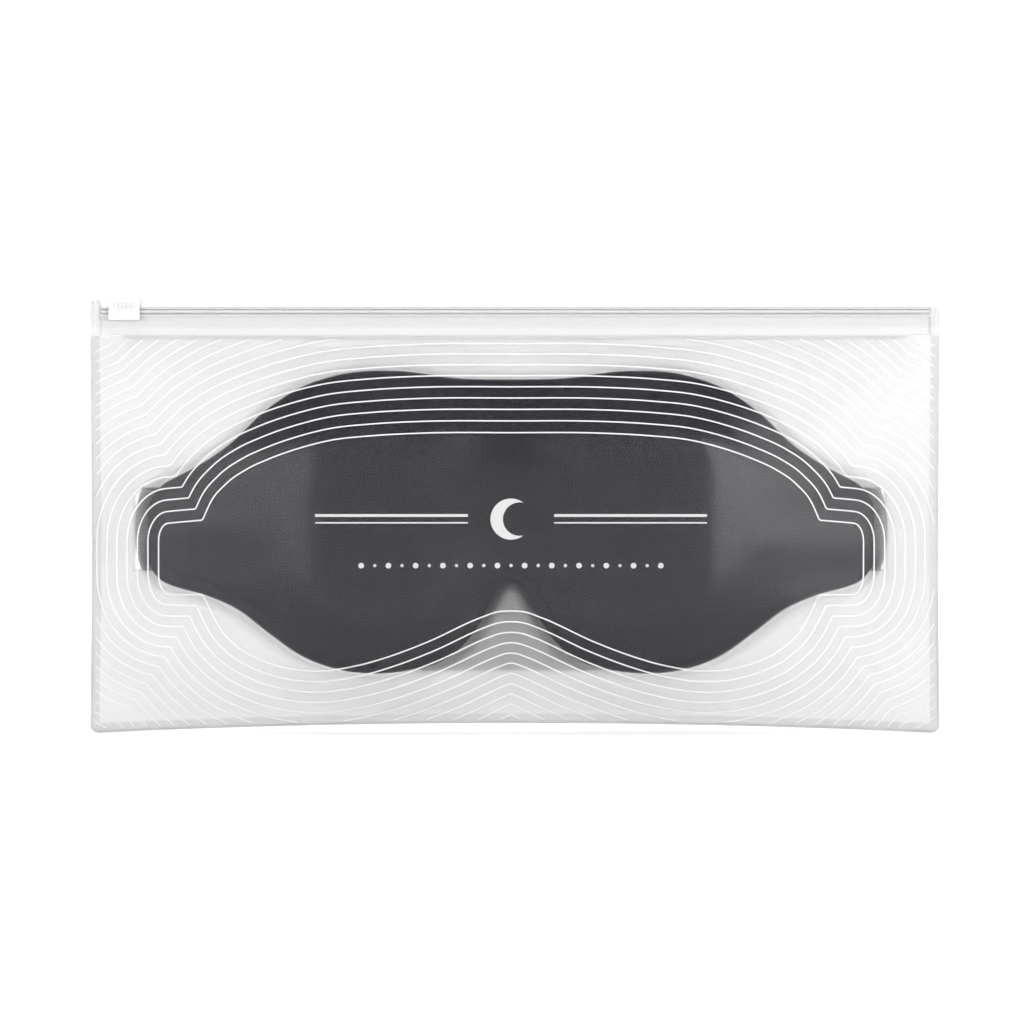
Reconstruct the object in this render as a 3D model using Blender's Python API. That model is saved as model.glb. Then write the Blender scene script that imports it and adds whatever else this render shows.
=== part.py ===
"""A contoured sleep eye mask, folded up inside its frosted slider-zip pouch.

The pouch stands upright: X runs along its width, Z up its height, and its front faces -Y.
The origin is the middle of the pouch's bottom edge, halfway through its thickness.
The mask's own pieces are drawn about the mask's centre and hang from one empty.
"""

import math

import bmesh
import bpy
import numpy as np

MM = 0.001

# Fit
GAP = 0.3 * MM                      # clearance left between neighbouring pieces

# Pouch films
POUCH_HALF_WIDTH = 129 * MM
FILM_TOP = 120.4 * MM               # where the films are joined to the zip's flanges
FILM_THICKNESS = 0.3 * MM
WELD_WIDTH = 3 * MM                 # flat welded band along the sides, the bottom and the zip
WELD_CORNER_CUT = 0.7 * MM          # how far each rounded bottom corner is drawn in
SIDE_PULL = 1.0 * MM                # how far a full pouch draws its sides in at mid height
BOTTOM_BOW = 2.9 * MM               # how far the bottom edge rises in the middle
WELD_OFFSET = GAP / 2               # inner face of each film at a weld, from the mid plane
FRONT_CELLS = (34, 16)              # cells across and up between the welds, front film
BACK_CELLS = 26                     # cells across between the welds, back film
BACK_CLEARANCE = 0.4 * MM           # gap from the mask's rim to the back film
FRONT_CLEARANCE = 0.9 * MM          # gap from the domes to the front film
BACK_PLATEAU = 10.4 * MM            # inner face of the back film where the pouch rests on it
DRAPE_CELLS = (126, 58)             # grid on which the stretched films are worked out
DRAPE_ROUNDS = 1500

# Zip
TRACK_TOP = 129.2 * MM
TRACK_BASE = 0.6 * MM               # thickness of the flange
TRACK_DEPTH = 1.7 * MM              # outermost ridge, from the mid plane
RIDGE_BOTTOM = 125.9 * MM
RIDGES = ((0.8, 0.1), (0.3, 0.4), (0.9, 0.0), (0.3, 0.4), (1.0, 0.1))   # (height, set-back) in mm
RIB_HEIGHT = (127.25 * MM, 127.85 * MM)   # the rib that presses into the back track's groove
RIB_REACH = 0.6 * MM
TONGUE_HALF_WIDTH = 118 * MM
TONGUE_BOTTOM = 117.6 * MM
STOP_DEPTH = 2.4 * MM
STOP_TOP_LEFT = 131.3 * MM
STOP_TOP_RIGHT = 129.6 * MM
STOP_BOTTOM = 120.8 * MM
STOP_CORNER = 2.5 * MM
JOIN_INSET = 0.05 * MM              # step between faces of pieces that are joined into one

# Zip slider, drawn about the middle of its track
ZIP_SLIDER_X = -118.5 * MM
ZIP_SLIDER_LENGTH = 9.5 * MM
ZIP_SLIDER_TOP = 131.9 * MM
ZIP_SLIDER_BOTTOM = 125.1 * MM
ZIP_SLIDER_HALF_DEPTH = 3.2 * MM
ZIP_SLIDER_LIP = 0.5 * MM

# Mask, in its own frame
MASK_CENTRE = (-1.2 * MM, 0.0, 63.7 * MM)
TAB_END = 110.5 * MM
TAB_CORNER = 6 * MM
MASK_TOP_LINE = ((0, 43.5), (16, 43.8), (34, 46.0), (52, 45.0), (64, 41.0), (76, 33.0),
                 (85, 24.3), (94, 18.0), (103, 13.2), (111, 9.0))
MASK_BOTTOM_LINE = ((0, -18.1), (4.5, -21.5), (9.7, -31.0), (15, -38.0), (22, -42.6), (32, -45.2),
                    (40, -46.0), (52, -44.9), (64, -40.5), (74, -33.5), (83, -26.6), (92, -22.5),
                    (103, -19.3), (111, -16.0))
MASK_HALF_COLUMNS = 18
MASK_ROWS = 12
ROW_EVENNESS = 0.4                  # 0 crowds the rows towards the edges, 1 spaces them evenly
SEAM_BAND = 2 * MM                  # rim where the two fabrics close over the foam's edge
RIM_FRONT = 0.3 * MM
RIM_BACK = 3.5 * MM
RIM_ROUND = 0.65 * MM               # how far each fabric turns in at the rim
FLAT_RIM = 2.5 * MM                 # pressed flat border
SHOULDER = 18 * MM                  # width of the rounded shoulder inside the flat border
SHOULDER_POWER = 2.2
DOME_RISE = 9.8 * MM
TAB_RISE = 1.5 * MM
DOME_OUTER = 92 * MM                # where the dome has run out towards the tab
DOME_RUNOUT = 34 * MM
BRIDGE_DIP = 0.35                   # share of the rise that is lost over the nose
BRIDGE_WIDTH = 16 * MM
CAVITY_CENTRE = (45 * MM, 0.0)
CAVITY_RADII = (27 * MM, 19 * MM)
CAVITY_DEPTH = 8 * MM
CAVITY_WALL = 0.5                   # share of the radius taken up by the sloping wall
FABRIC = 0.8 * MM

# Strap and its hardware, in the mask's frame (depths are distances behind the mid plane)
STRAP_HALF_WIDTH = 12.7 * MM
STRAP_THICKNESS = 0.9 * MM
STRAP_Z = -2 * MM
SEWN_DEPTH = 4.35 * MM              # middle of the layer sewn to the tab
INNER_DEPTH = 6.25 * MM             # middle of the layer that runs behind the mask
OUTER_DEPTH = 7.55 * MM             # middle of the doubled-back layer
SEWN_START = 88 * MM
FOLD_CENTRE = 113.6 * MM            # centre of the turn outside each tab
FOLD_BOW = 2 * MM                   # how far the corners of the fold draw in
FOLD_FADE = 8 * MM
RING_X = -30 * MM
RING_BAR_OFFSET = 5 * MM
RING_BAR_RADIUS = 0.8 * MM
RING_DEPTH = 6.9 * MM
RING_HALF_HEIGHT = 14.1 * MM
RING_CORNER = 2.2 * MM
LOOP_RADIUS = RING_BAR_RADIUS + GAP + STRAP_THICKNESS / 2
LOOP_RUN = 7 * MM                   # length over which the strap closes up again behind the bar
LEFT_STRAP_END = 52 * MM
RIGHT_STRAP_END = 78 * MM
STRAP_SLIDER_X = 45 * MM
STRAP_SLIDER_HALF_LENGTH = 8 * MM
RAIL = (13.1 * MM, 14.7 * MM)
RAIL_DEPTH = (4.3 * MM, 9.3 * MM)
END_BAR_WIDTH = 1.6 * MM
END_BAR_DEPTH = (8.4 * MM, 9.3 * MM)
CENTRE_BAR_HALF_WIDTH = 1.1 * MM
CENTRE_BAR_DEPTH = (4.3 * MM, 5.4 * MM)
STITCH_CENTRE = 100 * MM
STITCH_HALF = (6 * MM, 9 * MM)
STITCH_WIDTH = 0.6 * MM
STITCH_DEPTH = (5.1 * MM, 5.5 * MM)
BARTACK_X = -48.5 * MM
BARTACK_HALF = (0.8 * MM, 11 * MM)
BARTACK_DEPTH = (8.3 * MM, 8.7 * MM)

# Finishes: colour, roughness, metallic, alpha
FINISHES = {
    "frosted_film": ((0.90, 0.91, 0.92), 0.45, 0.0, 0.35),
    "zip_plastic": ((0.90, 0.91, 0.91), 0.35, 0.0, 0.75),
    "slider_plastic": ((0.95, 0.95, 0.95), 0.25, 0.0, 1.0),
    "charcoal_fabric": ((0.055, 0.055, 0.065), 0.85, 0.0, 1.0),
    "lining_fabric": ((0.045, 0.045, 0.055), 0.95, 0.0, 1.0),
    "moulded_foam": ((0.12, 0.12, 0.13), 0.95, 0.0, 1.0),
    "elastic_webbing": ((0.10, 0.10, 0.11), 0.80, 0.0, 1.0),
    "black_plastic": ((0.02, 0.02, 0.022), 0.40, 0.0, 1.0),
    "thread": ((0.06, 0.06, 0.07), 0.70, 0.0, 1.0),
}


def clear_scene():
    for item in list(bpy.data.objects):
        bpy.data.objects.remove(item, do_unlink=True)


def finish(name):
    """The named finish as a Principled material, made once."""
    if name in bpy.data.materials:
        return bpy.data.materials[name]
    colour, roughness, metallic, alpha = FINISHES[name]
    material = bpy.data.materials.new(name)
    material.use_nodes = True
    shader = material.node_tree.nodes["Principled BSDF"]
    shader.inputs["Base Color"].default_value = (*colour, 1.0)
    shader.inputs["Roughness"].default_value = roughness
    shader.inputs["Metallic"].default_value = metallic
    shader.inputs["Alpha"].default_value = alpha
    return material


def add_object(name, bm, material, parent=None):
    """Turn a bmesh into a named object with outward normals and smooth round faces."""
    bmesh.ops.recalc_face_normals(bm, faces=bm.faces)
    mesh = bpy.data.meshes.new(name)
    bm.to_mesh(mesh)
    bm.free()
    mesh.shade_smooth()
    mesh.set_sharp_from_angle(angle=math.radians(35))
    mesh.materials.append(finish(material))
    item = bpy.data.objects.new(name, mesh)
    bpy.context.collection.objects.link(item)
    item.parent = parent
    return item


def add_empty(name, location, parent=None):
    item = bpy.data.objects.new(name, None)
    item.location = location
    item.parent = parent
    bpy.context.collection.objects.link(item)
    return item


def closed_sheet(name, material, outer, inner, parent=None):
    """A closed sheet between two grids of points, each of shape rows x columns x 3."""
    rows, columns = outer.shape[:2]
    bm = bmesh.new()
    skins = []
    for grid in (outer, inner):
        skins.append([[bm.verts.new(point) for point in line] for line in grid])
    for skin in skins:
        for r in range(rows - 1):
            for c in range(columns - 1):
                a, b = skin[r][c], skin[r][c + 1]
                d, e = skin[r + 1][c], skin[r + 1][c + 1]
                bm.faces.new((a, b, e))
                bm.faces.new((a, e, d))
    rim = [(0, c) for c in range(columns - 1)]
    rim += [(r, columns - 1) for r in range(rows - 1)]
    rim += [(rows - 1, c) for c in range(columns - 1, 0, -1)]
    rim += [(r, 0) for r in range(rows - 1, 0, -1)]
    for (r0, c0), (r1, c1) in zip(rim, rim[1:] + rim[:1]):
        a, b = skins[0][r0][c0], skins[0][r1][c1]
        d, e = skins[1][r0][c0], skins[1][r1][c1]
        bm.faces.new((a, b, e))
        bm.faces.new((a, e, d))
    return add_object(name, bm, material, parent)


def points(x, y, z):
    """Stack matching arrays into points."""
    return np.stack(np.broadcast_arrays(x, y, z), axis=-1)


def add_box(name, material, low, high, parent=None):
    bm = bmesh.new()
    bmesh.ops.create_cube(bm, size=1.0)
    for vert in bm.verts:
        vert.co = [lo + (hi - lo) * (part + 0.5) for lo, hi, part in zip(low, high, vert.co)]
    return add_object(name, bm, material, parent)


def add_prism(name, material, outline, span, parent=None):
    """An outline of (y, z) points extruded along X over span."""
    bm = bmesh.new()
    face = bm.faces.new([bm.verts.new((span[0], y, z)) for y, z in outline])
    pushed = bmesh.ops.extrude_face_region(bm, geom=[face])
    moved = [part for part in pushed["geom"] if isinstance(part, bmesh.types.BMVert)]
    bmesh.ops.translate(bm, verts=moved, vec=(span[1] - span[0], 0, 0))
    return add_object(name, bm, material, parent)


def unite(target, others):
    """Join other solids to the target with Boolean unions, and keep them as hidden guides."""
    for other in others:
        joint = target.modifiers.new(other.name, "BOOLEAN")
        joint.operation = "UNION"
        joint.solver = "EXACT"
        joint.object = other
        other.hide_render = True
        other.display_type = "WIRE"


def soften(item, width, segments=2):
    bevel = item.modifiers.new("soft_edges", "BEVEL")
    bevel.width = width
    bevel.segments = segments
    bevel.limit_method = "ANGLE"
    bevel.angle_limit = math.radians(40)


def smoothstep(value):
    value = np.clip(value, 0, 1)
    return value * value * (3 - 2 * value)


def smooth_line(control, x):
    """Height at x of a smooth curve through control points, level at its first point."""
    knots = np.array(control, dtype=float) * MM
    slopes = np.gradient(knots[:, 1], knots[:, 0])
    slopes[0] = 0.0
    place = np.clip(np.searchsorted(knots[:, 0], x, side="right") - 1, 0, len(knots) - 2)
    step = knots[place + 1, 0] - knots[place, 0]
    t = (x - knots[place, 0]) / step
    start = knots[place, 1] * (2 * t**3 - 3 * t**2 + 1) + slopes[place] * step * (t**3 - 2 * t**2 + t)
    end = knots[place + 1, 1] * (3 * t**2 - 2 * t**3) + slopes[place + 1] * step * (t**3 - t**2)
    return start + end


def mask_edges(x):
    """Bottom and top of the mask's outline at each x, with rounded tab corners."""
    reach = np.abs(x)
    turn = np.clip(reach - (TAB_END - TAB_CORNER), 0, TAB_CORNER)
    drop = TAB_CORNER - np.sqrt(np.maximum(TAB_CORNER**2 - turn**2, 0))
    return smooth_line(MASK_BOTTOM_LINE, reach) + drop, smooth_line(MASK_TOP_LINE, reach) - drop


def mask_columns(half_columns):
    """X of the mask's grid lines: closer at the nose, one seam band inside each tab's end."""
    flat = TAB_END - TAB_CORNER
    half = flat * np.linspace(0, 1, half_columns + 1) ** 1.15
    half = np.concatenate((half, (TAB_END - SEAM_BAND, TAB_END)))
    return np.concatenate((-half[:0:-1], half))


def mask_outline():
    """The mask's outline as a closed loop of (x, z) points."""
    turns = np.sin(np.radians(np.arange(15, 91, 15))) * TAB_CORNER + TAB_END - TAB_CORNER
    half = np.concatenate((np.linspace(0, TAB_END - TAB_CORNER, 90), turns))
    x = np.concatenate((-half[:0:-1], half))
    bottom, top = mask_edges(x)
    loop = np.concatenate((np.stack((x, bottom), 1), np.stack((x, top), 1)[::-1]))
    return loop


def edge_distance(x, z):
    """Distance from each point to the mask's outline."""
    start = mask_outline()
    run = np.roll(start, -1, axis=0) - start
    place = np.stack((x, z), -1)[..., None, :] - start
    along = np.clip((place * run).sum(-1) / np.maximum((run * run).sum(-1), 1e-12), 0, 1)
    return np.linalg.norm(place - along[..., None] * run, axis=-1).min(axis=-1)


def dome_rise(x):
    """How far the front stands out at the middle of the mask: two domes, a bridge and two tabs."""
    reach = np.abs(x)
    side = smoothstep((DOME_OUTER - reach) / DOME_RUNOUT)
    bridge = 1 - BRIDGE_DIP * np.exp(-((reach / BRIDGE_WIDTH) ** 2))
    return TAB_RISE + (DOME_RISE - TAB_RISE) * side * bridge


def mask_front(x, z):
    """Y of the mask's front face."""
    inside = edge_distance(x, z)
    rounding = RIM_ROUND * np.clip(1 - inside / SEAM_BAND, 0, 1) ** 2
    share = 1 - (1 - np.clip((inside - FLAT_RIM) / SHOULDER, 0, 1)) ** SHOULDER_POWER
    return RIM_FRONT + rounding - dome_rise(x) * share


def mask_back(x, z):
    """Y of the mask's face side, with the two eye cavities."""
    rounding = RIM_ROUND * np.clip(1 - edge_distance(x, z) / SEAM_BAND, 0, 1) ** 2
    across = (np.abs(x) - CAVITY_CENTRE[0]) / CAVITY_RADII[0]
    up = (z - CAVITY_CENTRE[1]) / CAVITY_RADII[1]
    hollow = CAVITY_DEPTH * smoothstep((1 - np.hypot(across, up)) / CAVITY_WALL)
    return RIM_BACK - rounding - hollow


def mask_grid():
    """X and z of the mask's grid: rows from bottom to top, one seam band inside each edge."""
    x = mask_columns(MASK_HALF_COLUMNS)
    bottom, top = mask_edges(x)
    even = np.linspace(0, 1, MASK_ROWS + 1)
    crowded = (1 - np.cos(np.pi * even)) / 2
    share = (ROW_EVENNESS * even + (1 - ROW_EVENNESS) * crowded)[:, None]
    inner = (bottom + SEAM_BAND) + share * (top - bottom - 2 * SEAM_BAND)
    z = np.vstack((bottom, inner, top))
    return np.broadcast_to(x, z.shape), z


def build_mask(frame):
    """Front fabric, foam core and lining: three layers on one grid, 0.3 mm apart."""
    x, z = mask_grid()
    front = mask_front(x, z)
    back = mask_back(x, z)
    closed_sheet("mask_front_fabric", "charcoal_fabric",
                 points(x, front, z), points(x, front + FABRIC, z), frame)
    closed_sheet("mask_lining", "lining_fabric",
                 points(x, back, z), points(x, back - FABRIC, z), frame)
    core = (slice(1, -1), slice(1, -1))
    layer = FABRIC + GAP
    closed_sheet("mask_foam_core", "moulded_foam",
                 points(x, front + layer, z)[core], points(x, back - layer, z)[core], frame)


def arc(centre, radius, start, end, count):
    """Points on an arc, angles in degrees."""
    turn = np.radians(np.linspace(start, end, count))
    return np.stack((centre[0] + radius * np.cos(turn), centre[1] + radius * np.sin(turn)), 1)


def closing_run(bar, near, far, count=5):
    """The strap easing from its loop round the bar to its flat layer."""
    share = np.linspace(0, 1, count + 1)[1:]
    return np.stack((bar + LOOP_RUN * share, near + (far - near) * smoothstep(share)), 1)


def strap_path(bar, end):
    """Middle line of a strap as (distance from the nose, depth): tab, fold, ring bar, free end."""
    fold = (FOLD_CENTRE, (SEWN_DEPTH + INNER_DEPTH) / 2)
    steps = FOLD_CENTRE - FOLD_FADE * np.array((1.0, 0.75, 0.5, 0.25))
    outward = [(SEWN_START, SEWN_DEPTH)] + [(x, SEWN_DEPTH) for x in steps]
    turn = arc(fold, (INNER_DEPTH - SEWN_DEPTH) / 2, -90, 90, 7)
    inward = [(x, INNER_DEPTH) for x in steps[::-1]]
    dip = closing_run(bar, RING_DEPTH - LOOP_RADIUS, INNER_DEPTH)[::-1]
    loop = arc((bar, RING_DEPTH), LOOP_RADIUS, 270, 90, 9)
    rise = closing_run(bar, RING_DEPTH + LOOP_RADIUS, OUTER_DEPTH)
    return np.concatenate((outward, turn, inward, dip, loop, rise, [(end, OUTER_DEPTH)]))


def build_strap(name, side, bar, end, frame):
    """A flat elastic strap swept along its path; side is -1 for the left and +1 for the right."""
    path = strap_path(bar, end)
    tangent = np.gradient(path, axis=0)
    tangent /= np.linalg.norm(tangent, axis=1)[:, None]
    normal = np.stack((-tangent[:, 1], tangent[:, 0]), 1) * STRAP_THICKNESS / 2
    across = np.linspace(-1, 1, 5)[:, None]
    nearness = smoothstep(1 - np.abs(FOLD_CENTRE - path[:, 0]) / FOLD_FADE)
    draw_in = FOLD_BOW * across**2 * nearness
    faces = []
    for face in (path + normal, path - normal):
        x = side * (face[:, 0] - draw_in)
        faces.append(points(x, face[:, 1], STRAP_Z + STRAP_HALF_WIDTH * across))
    return closed_sheet(name, "elastic_webbing", faces[0], faces[1], frame)


def build_ring(frame):
    """A rectangular ring of round wire with one upright bar for each strap."""
    path = []
    across = RING_BAR_OFFSET - RING_CORNER
    up = RING_HALF_HEIGHT - RING_CORNER
    for side_x, side_z, start in ((1, 1, 0), (-1, 1, 90), (-1, -1, 180), (1, -1, 270)):
        path.extend(arc((side_x * across, side_z * up), RING_CORNER, start, start + 90, 5))
    path = np.array(path)
    tangent = np.roll(path, -1, axis=0) - np.roll(path, 1, axis=0)
    tangent /= np.linalg.norm(tangent, axis=1)[:, None]
    outward = np.stack((tangent[:, 1], -tangent[:, 0]), 1)
    bm = bmesh.new()
    hoops = []
    for place, out in zip(path, outward):
        hoop = []
        for turn in np.radians(np.arange(0, 360, 45)):
            x, z = place + out * RING_BAR_RADIUS * math.cos(turn)
            hoop.append(bm.verts.new((x, RING_BAR_RADIUS * math.sin(turn), z)))
        hoops.append(hoop)
    for here, there in zip(hoops, hoops[1:] + hoops[:1]):
        for k in range(len(here)):
            follow = (k + 1) % len(here)
            bm.faces.new((here[k], here[follow], there[follow], there[k]))
    ring = add_object("strap_ring", bm, "black_plastic", frame)
    ring.location = (RING_X, RING_DEPTH, STRAP_Z)
    return ring


def build_strap_slider(frame):
    """A three-bar slide: two rails, two end bars outside the straps and one bar inside them."""
    reach = STRAP_SLIDER_HALF_LENGTH
    body = add_box("strap_slider", "black_plastic", (-reach, RAIL_DEPTH[0], RAIL[0]),
                   (reach, RAIL_DEPTH[1], RAIL[1]), frame)
    bars = [add_box("slide_lower_rail", "black_plastic", (-reach, RAIL_DEPTH[0], -RAIL[1]),
                    (reach, RAIL_DEPTH[1], -RAIL[0]), body)]
    hold = (RAIL[0] + RAIL[1]) / 2
    for name, low, high in (("slide_left_bar", -reach, END_BAR_WIDTH - reach),
                            ("slide_right_bar", reach - END_BAR_WIDTH, reach)):
        bars.append(add_box(name, "black_plastic", (low, END_BAR_DEPTH[0], -hold),
                            (high, END_BAR_DEPTH[1], hold), body))
    bars.append(add_box("slide_centre_bar", "black_plastic",
                        (-CENTRE_BAR_HALF_WIDTH, CENTRE_BAR_DEPTH[0], -hold),
                        (CENTRE_BAR_HALF_WIDTH, CENTRE_BAR_DEPTH[1], hold), body))
    unite(body, bars)
    body.location = (STRAP_SLIDER_X, 0, STRAP_Z)
    return body


def build_tab_stitch(name, side, frame):
    """A box of stitching with a cross in it, through the strap's sewn layer."""
    half_x, half_z = STITCH_HALF
    low, high = STITCH_DEPTH
    run = STITCH_WIDTH / 2
    top = add_box(name, "thread", (-half_x, low, half_z - run), (half_x, high, half_z + run), frame)
    bars = [add_box(name + "_bottom", "thread", (-half_x, low, -half_z - run),
                    (half_x, high, run - half_z), top)]
    for end in (-1, 1):
        bars.append(add_box(f"{name}_side{end}", "thread", (end * half_x - run, low, -half_z - run),
                            (end * half_x + run, high, half_z + run), top))
    slope = math.atan2(half_z, half_x)
    for lean in (-1, 1):
        reach = math.hypot(half_x, half_z)
        bar = add_box(f"{name}_cross{lean}", "thread", (-reach, low, -run), (reach, high, run), top)
        bar.rotation_euler = (0, lean * slope, 0)
        bars.append(bar)
    unite(top, bars)
    top.location = (side * STITCH_CENTRE, 0, STRAP_Z)
    return top


def build_bartack(frame):
    """The dense bar of thread that closes the left strap's loop."""
    half_x, half_z = BARTACK_HALF
    bar = add_box("loop_bartack", "thread", (-half_x, BARTACK_DEPTH[0], -half_z),
                  (half_x, BARTACK_DEPTH[1], half_z), frame)
    bar.location = (BARTACK_X, 0, STRAP_Z)
    soften(bar, 0.12 * MM, 1)
    return bar


def film_lines(cells):
    """Shares from -1 to 1 across the pouch, with a line at the inner edge of each weld."""
    inner = np.linspace(-1, 1, cells + 1) * (1 - WELD_WIDTH / POUCH_HALF_WIDTH)
    return np.concatenate(((-1,), inner, (1,)))


def film_rows(cells):
    """Shares from 0 to 1 up the film, with a line at the inner edge of each weld."""
    weld = WELD_WIDTH / FILM_TOP
    return np.concatenate(((0,), np.linspace(weld, 1 - weld, cells + 1), (1,)))


def film_plan(across, up):
    """X and z of the film's points: straight top, bowed bottom, drawn-in sides."""
    across, up = np.meshgrid(across, up)
    x = across * (POUCH_HALF_WIDTH - SIDE_PULL * np.sin(np.pi * up))
    inside_weld = across / (1 - WELD_WIDTH / POUCH_HALF_WIDTH)
    bottom = BOTTOM_BOW * np.maximum(1 - inside_weld**2, 0)
    z = bottom + up * (FILM_TOP - bottom)
    corner = (np.abs(across) == 1) & (up == 0)
    x = x - np.sign(x) * corner * WELD_CORNER_CUT
    z = z + corner * WELD_CORNER_CUT
    return x, z


def draped(cells, obstacle, top_height):
    """How far a film stands off the mid plane when pulled tight over an obstacle.

    Every free point settles at the mean of its neighbours unless the obstacle holds it out.
    The welds at the sides and bottom stay at the mid plane, and the top lies on the zip's flange.
    """
    across, up = film_lines(cells[0]), film_rows(cells[1])
    x, z = film_plan(across, up)
    held = obstacle(x, z)
    blend = smoothstep((POUCH_HALF_WIDTH - WELD_WIDTH - np.abs(x)) / (2 * WELD_WIDTH))
    flange = WELD_OFFSET + (top_height - WELD_OFFSET) * blend
    height = np.maximum(held, WELD_OFFSET)
    for _ in range(DRAPE_ROUNDS):
        height[:2], height[:, :2], height[:, -2:] = WELD_OFFSET, WELD_OFFSET, WELD_OFFSET
        height[-2:] = flange[-2:]
        mean = (height[:-2, 1:-1] + height[2:, 1:-1] + height[1:-1, :-2] + height[1:-1, 2:]) / 4
        height[1:-1, 1:-1] = np.maximum(mean, held[1:-1, 1:-1])
    height[:2], height[:, :2], height[:, -2:] = WELD_OFFSET, WELD_OFFSET, WELD_OFFSET
    height[-2:] = flange[-2:]
    return across, up, height


def sample(across, up, height, at_across, at_up):
    """Heights at other grid lines, straight between the lines of the finer grid."""
    rows = np.array([np.interp(at_across, across, line) for line in height])
    return np.array([np.interp(at_up, up, column) for column in rows.T]).T


def inside_mask(x, z, margin):
    """Where a point lies on the mask, or within a margin of it."""
    bottom, top = mask_edges(np.clip(x, -TAB_END, TAB_END))
    within = (np.abs(x) < TAB_END) & (z > bottom) & (z < top)
    return within | (edge_distance(x, z) < margin)


def front_obstacle(x, z):
    """The domes as the front film meets them."""
    x = x - MASK_CENTRE[0]
    z = z - MASK_CENTRE[2]
    held = FRONT_CLEARANCE - mask_front(x, z)
    return np.where(inside_mask(x, z, 0.0), held, 0.0)


def back_obstacle(x, z):
    """The mask's rim, the folded straps and the flat band on which the pouch rests."""
    x = np.abs(x - MASK_CENTRE[0])
    z = z - MASK_CENTRE[2]
    held = np.where(inside_mask(x, z, 2 * MM), RIM_BACK + BACK_CLEARANCE, 0.0)
    height = np.abs(z - STRAP_Z)
    fold = (x < FOLD_CENTRE + 3.5 * MM) & (height < RAIL[1])
    held = np.where(fold, INNER_DEPTH + 2 * BACK_CLEARANCE + STRAP_THICKNESS / 2, held)
    band = (x < TAB_END) & (height < RAIL[1] + 2 * MM)
    return np.where(band, BACK_PLATEAU, held)


def build_front_film():
    top = WELD_OFFSET + TRACK_BASE + GAP
    fine = draped(DRAPE_CELLS, front_obstacle, top)
    across, up = film_lines(FRONT_CELLS[0]), film_rows(FRONT_CELLS[1])
    height = sample(*fine, across, up)
    x, z = film_plan(across, up)
    closed_sheet("pouch_front_film", "frosted_film",
                 points(x, -height - FILM_THICKNESS, z), points(x, -height, z))


def build_back_film():
    """The back film has grid lines along the edges of the flat band it rests on."""
    top = WELD_OFFSET + TRACK_BASE + GAP
    fine = draped(DRAPE_CELLS, back_obstacle, top)
    middle = MASK_CENTRE[2] + STRAP_Z
    band = RAIL[1] + 1.5 * MM
    low, high = (middle - band) / FILM_TOP, (middle + band) / FILM_TOP
    weld = WELD_WIDTH / FILM_TOP
    up = np.concatenate(((0,), np.linspace(weld, low, 6), np.linspace(low, high, 4)[1:],
                         np.linspace(high, 1 - weld, 5)[1:], (1,)))
    across = film_lines(BACK_CELLS)
    height = sample(*fine, across, up)
    x, z = film_plan(across, up)
    closed_sheet("pouch_back_film", "frosted_film",
                 points(x, height + FILM_THICKNESS, z), points(x, height, z))


def ridged_face():
    """(y, z) points up the outer face of a track, from flange to top, for the back half."""
    base = WELD_OFFSET + TRACK_BASE
    face = [(base, FILM_TOP), (base, RIDGE_BOTTOM)]
    z = RIDGE_BOTTOM
    for height, set_back in RIDGES:
        face.append((TRACK_DEPTH - set_back * MM, z))
        z += height * MM
        face.append((TRACK_DEPTH - set_back * MM, z))
    return face


def stop(name, side, track, x_side, top):
    """The crushed end of a track, where the side weld runs over it."""
    corner = STOP_CORNER if x_side > 0 else STOP_CORNER / 2
    outer = POUCH_HALF_WIDTH
    inner = POUCH_HALF_WIDTH - WELD_WIDTH
    bm = bmesh.new()
    outline = [(inner, STOP_BOTTOM), (outer, STOP_BOTTOM)]
    outline += [tuple(p) for p in arc((outer - corner, top - corner), corner, 0, 90, 4)]
    outline.append((inner, top))
    near, far = WELD_OFFSET + JOIN_INSET, STOP_DEPTH
    face = bm.faces.new([bm.verts.new((x_side * x, side * near, z)) for x, z in outline])
    pushed = bmesh.ops.extrude_face_region(bm, geom=[face])
    moved = [part for part in pushed["geom"] if isinstance(part, bmesh.types.BMVert)]
    bmesh.ops.translate(bm, verts=moved, vec=(0, side * (far - near), 0))
    return add_object(name, bm, "zip_plastic", track)


def build_track(name, side, rib):
    """Half of the press-to-close track: side is -1 for the front half and +1 for the back half.

    The front half has a rib on its inner face, and the back half has the groove that holds it.
    """
    foot = side * WELD_OFFSET
    low, high = RIB_HEIGHT
    outline = [(side * y, z) for y, z in ridged_face()] + [(foot, TRACK_TOP)]
    if not rib:
        reach = RIB_REACH + GAP
        outline += [(foot, high + GAP), (reach, high + GAP), (reach, low - GAP), (foot, low - GAP)]
    outline.append((foot, FILM_TOP))
    end = POUCH_HALF_WIDTH - WELD_WIDTH / 2
    track = add_prism(name, "zip_plastic", outline, (-end, end))
    y_low, y_high = sorted((side * (WELD_OFFSET + JOIN_INSET),
                            side * (WELD_OFFSET + TRACK_BASE - JOIN_INSET)))
    tongue = add_box(name + "_tongue", "zip_plastic", (-TONGUE_HALF_WIDTH, y_low, TONGUE_BOTTOM),
                     (TONGUE_HALF_WIDTH, y_high, FILM_TOP + 1 * MM), track)
    extras = [tongue, stop(name + "_left_stop", side, track, -1, STOP_TOP_LEFT),
              stop(name + "_right_stop", side, track, 1, STOP_TOP_RIGHT)]
    if rib:
        rib_end = POUCH_HALF_WIDTH - WELD_WIDTH - GAP
        extras.append(add_box(name + "_rib", "zip_plastic", (-rib_end, 2 * foot, low),
                              (rib_end, RIB_REACH, high), track))
    unite(track, extras)
    return track


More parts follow.
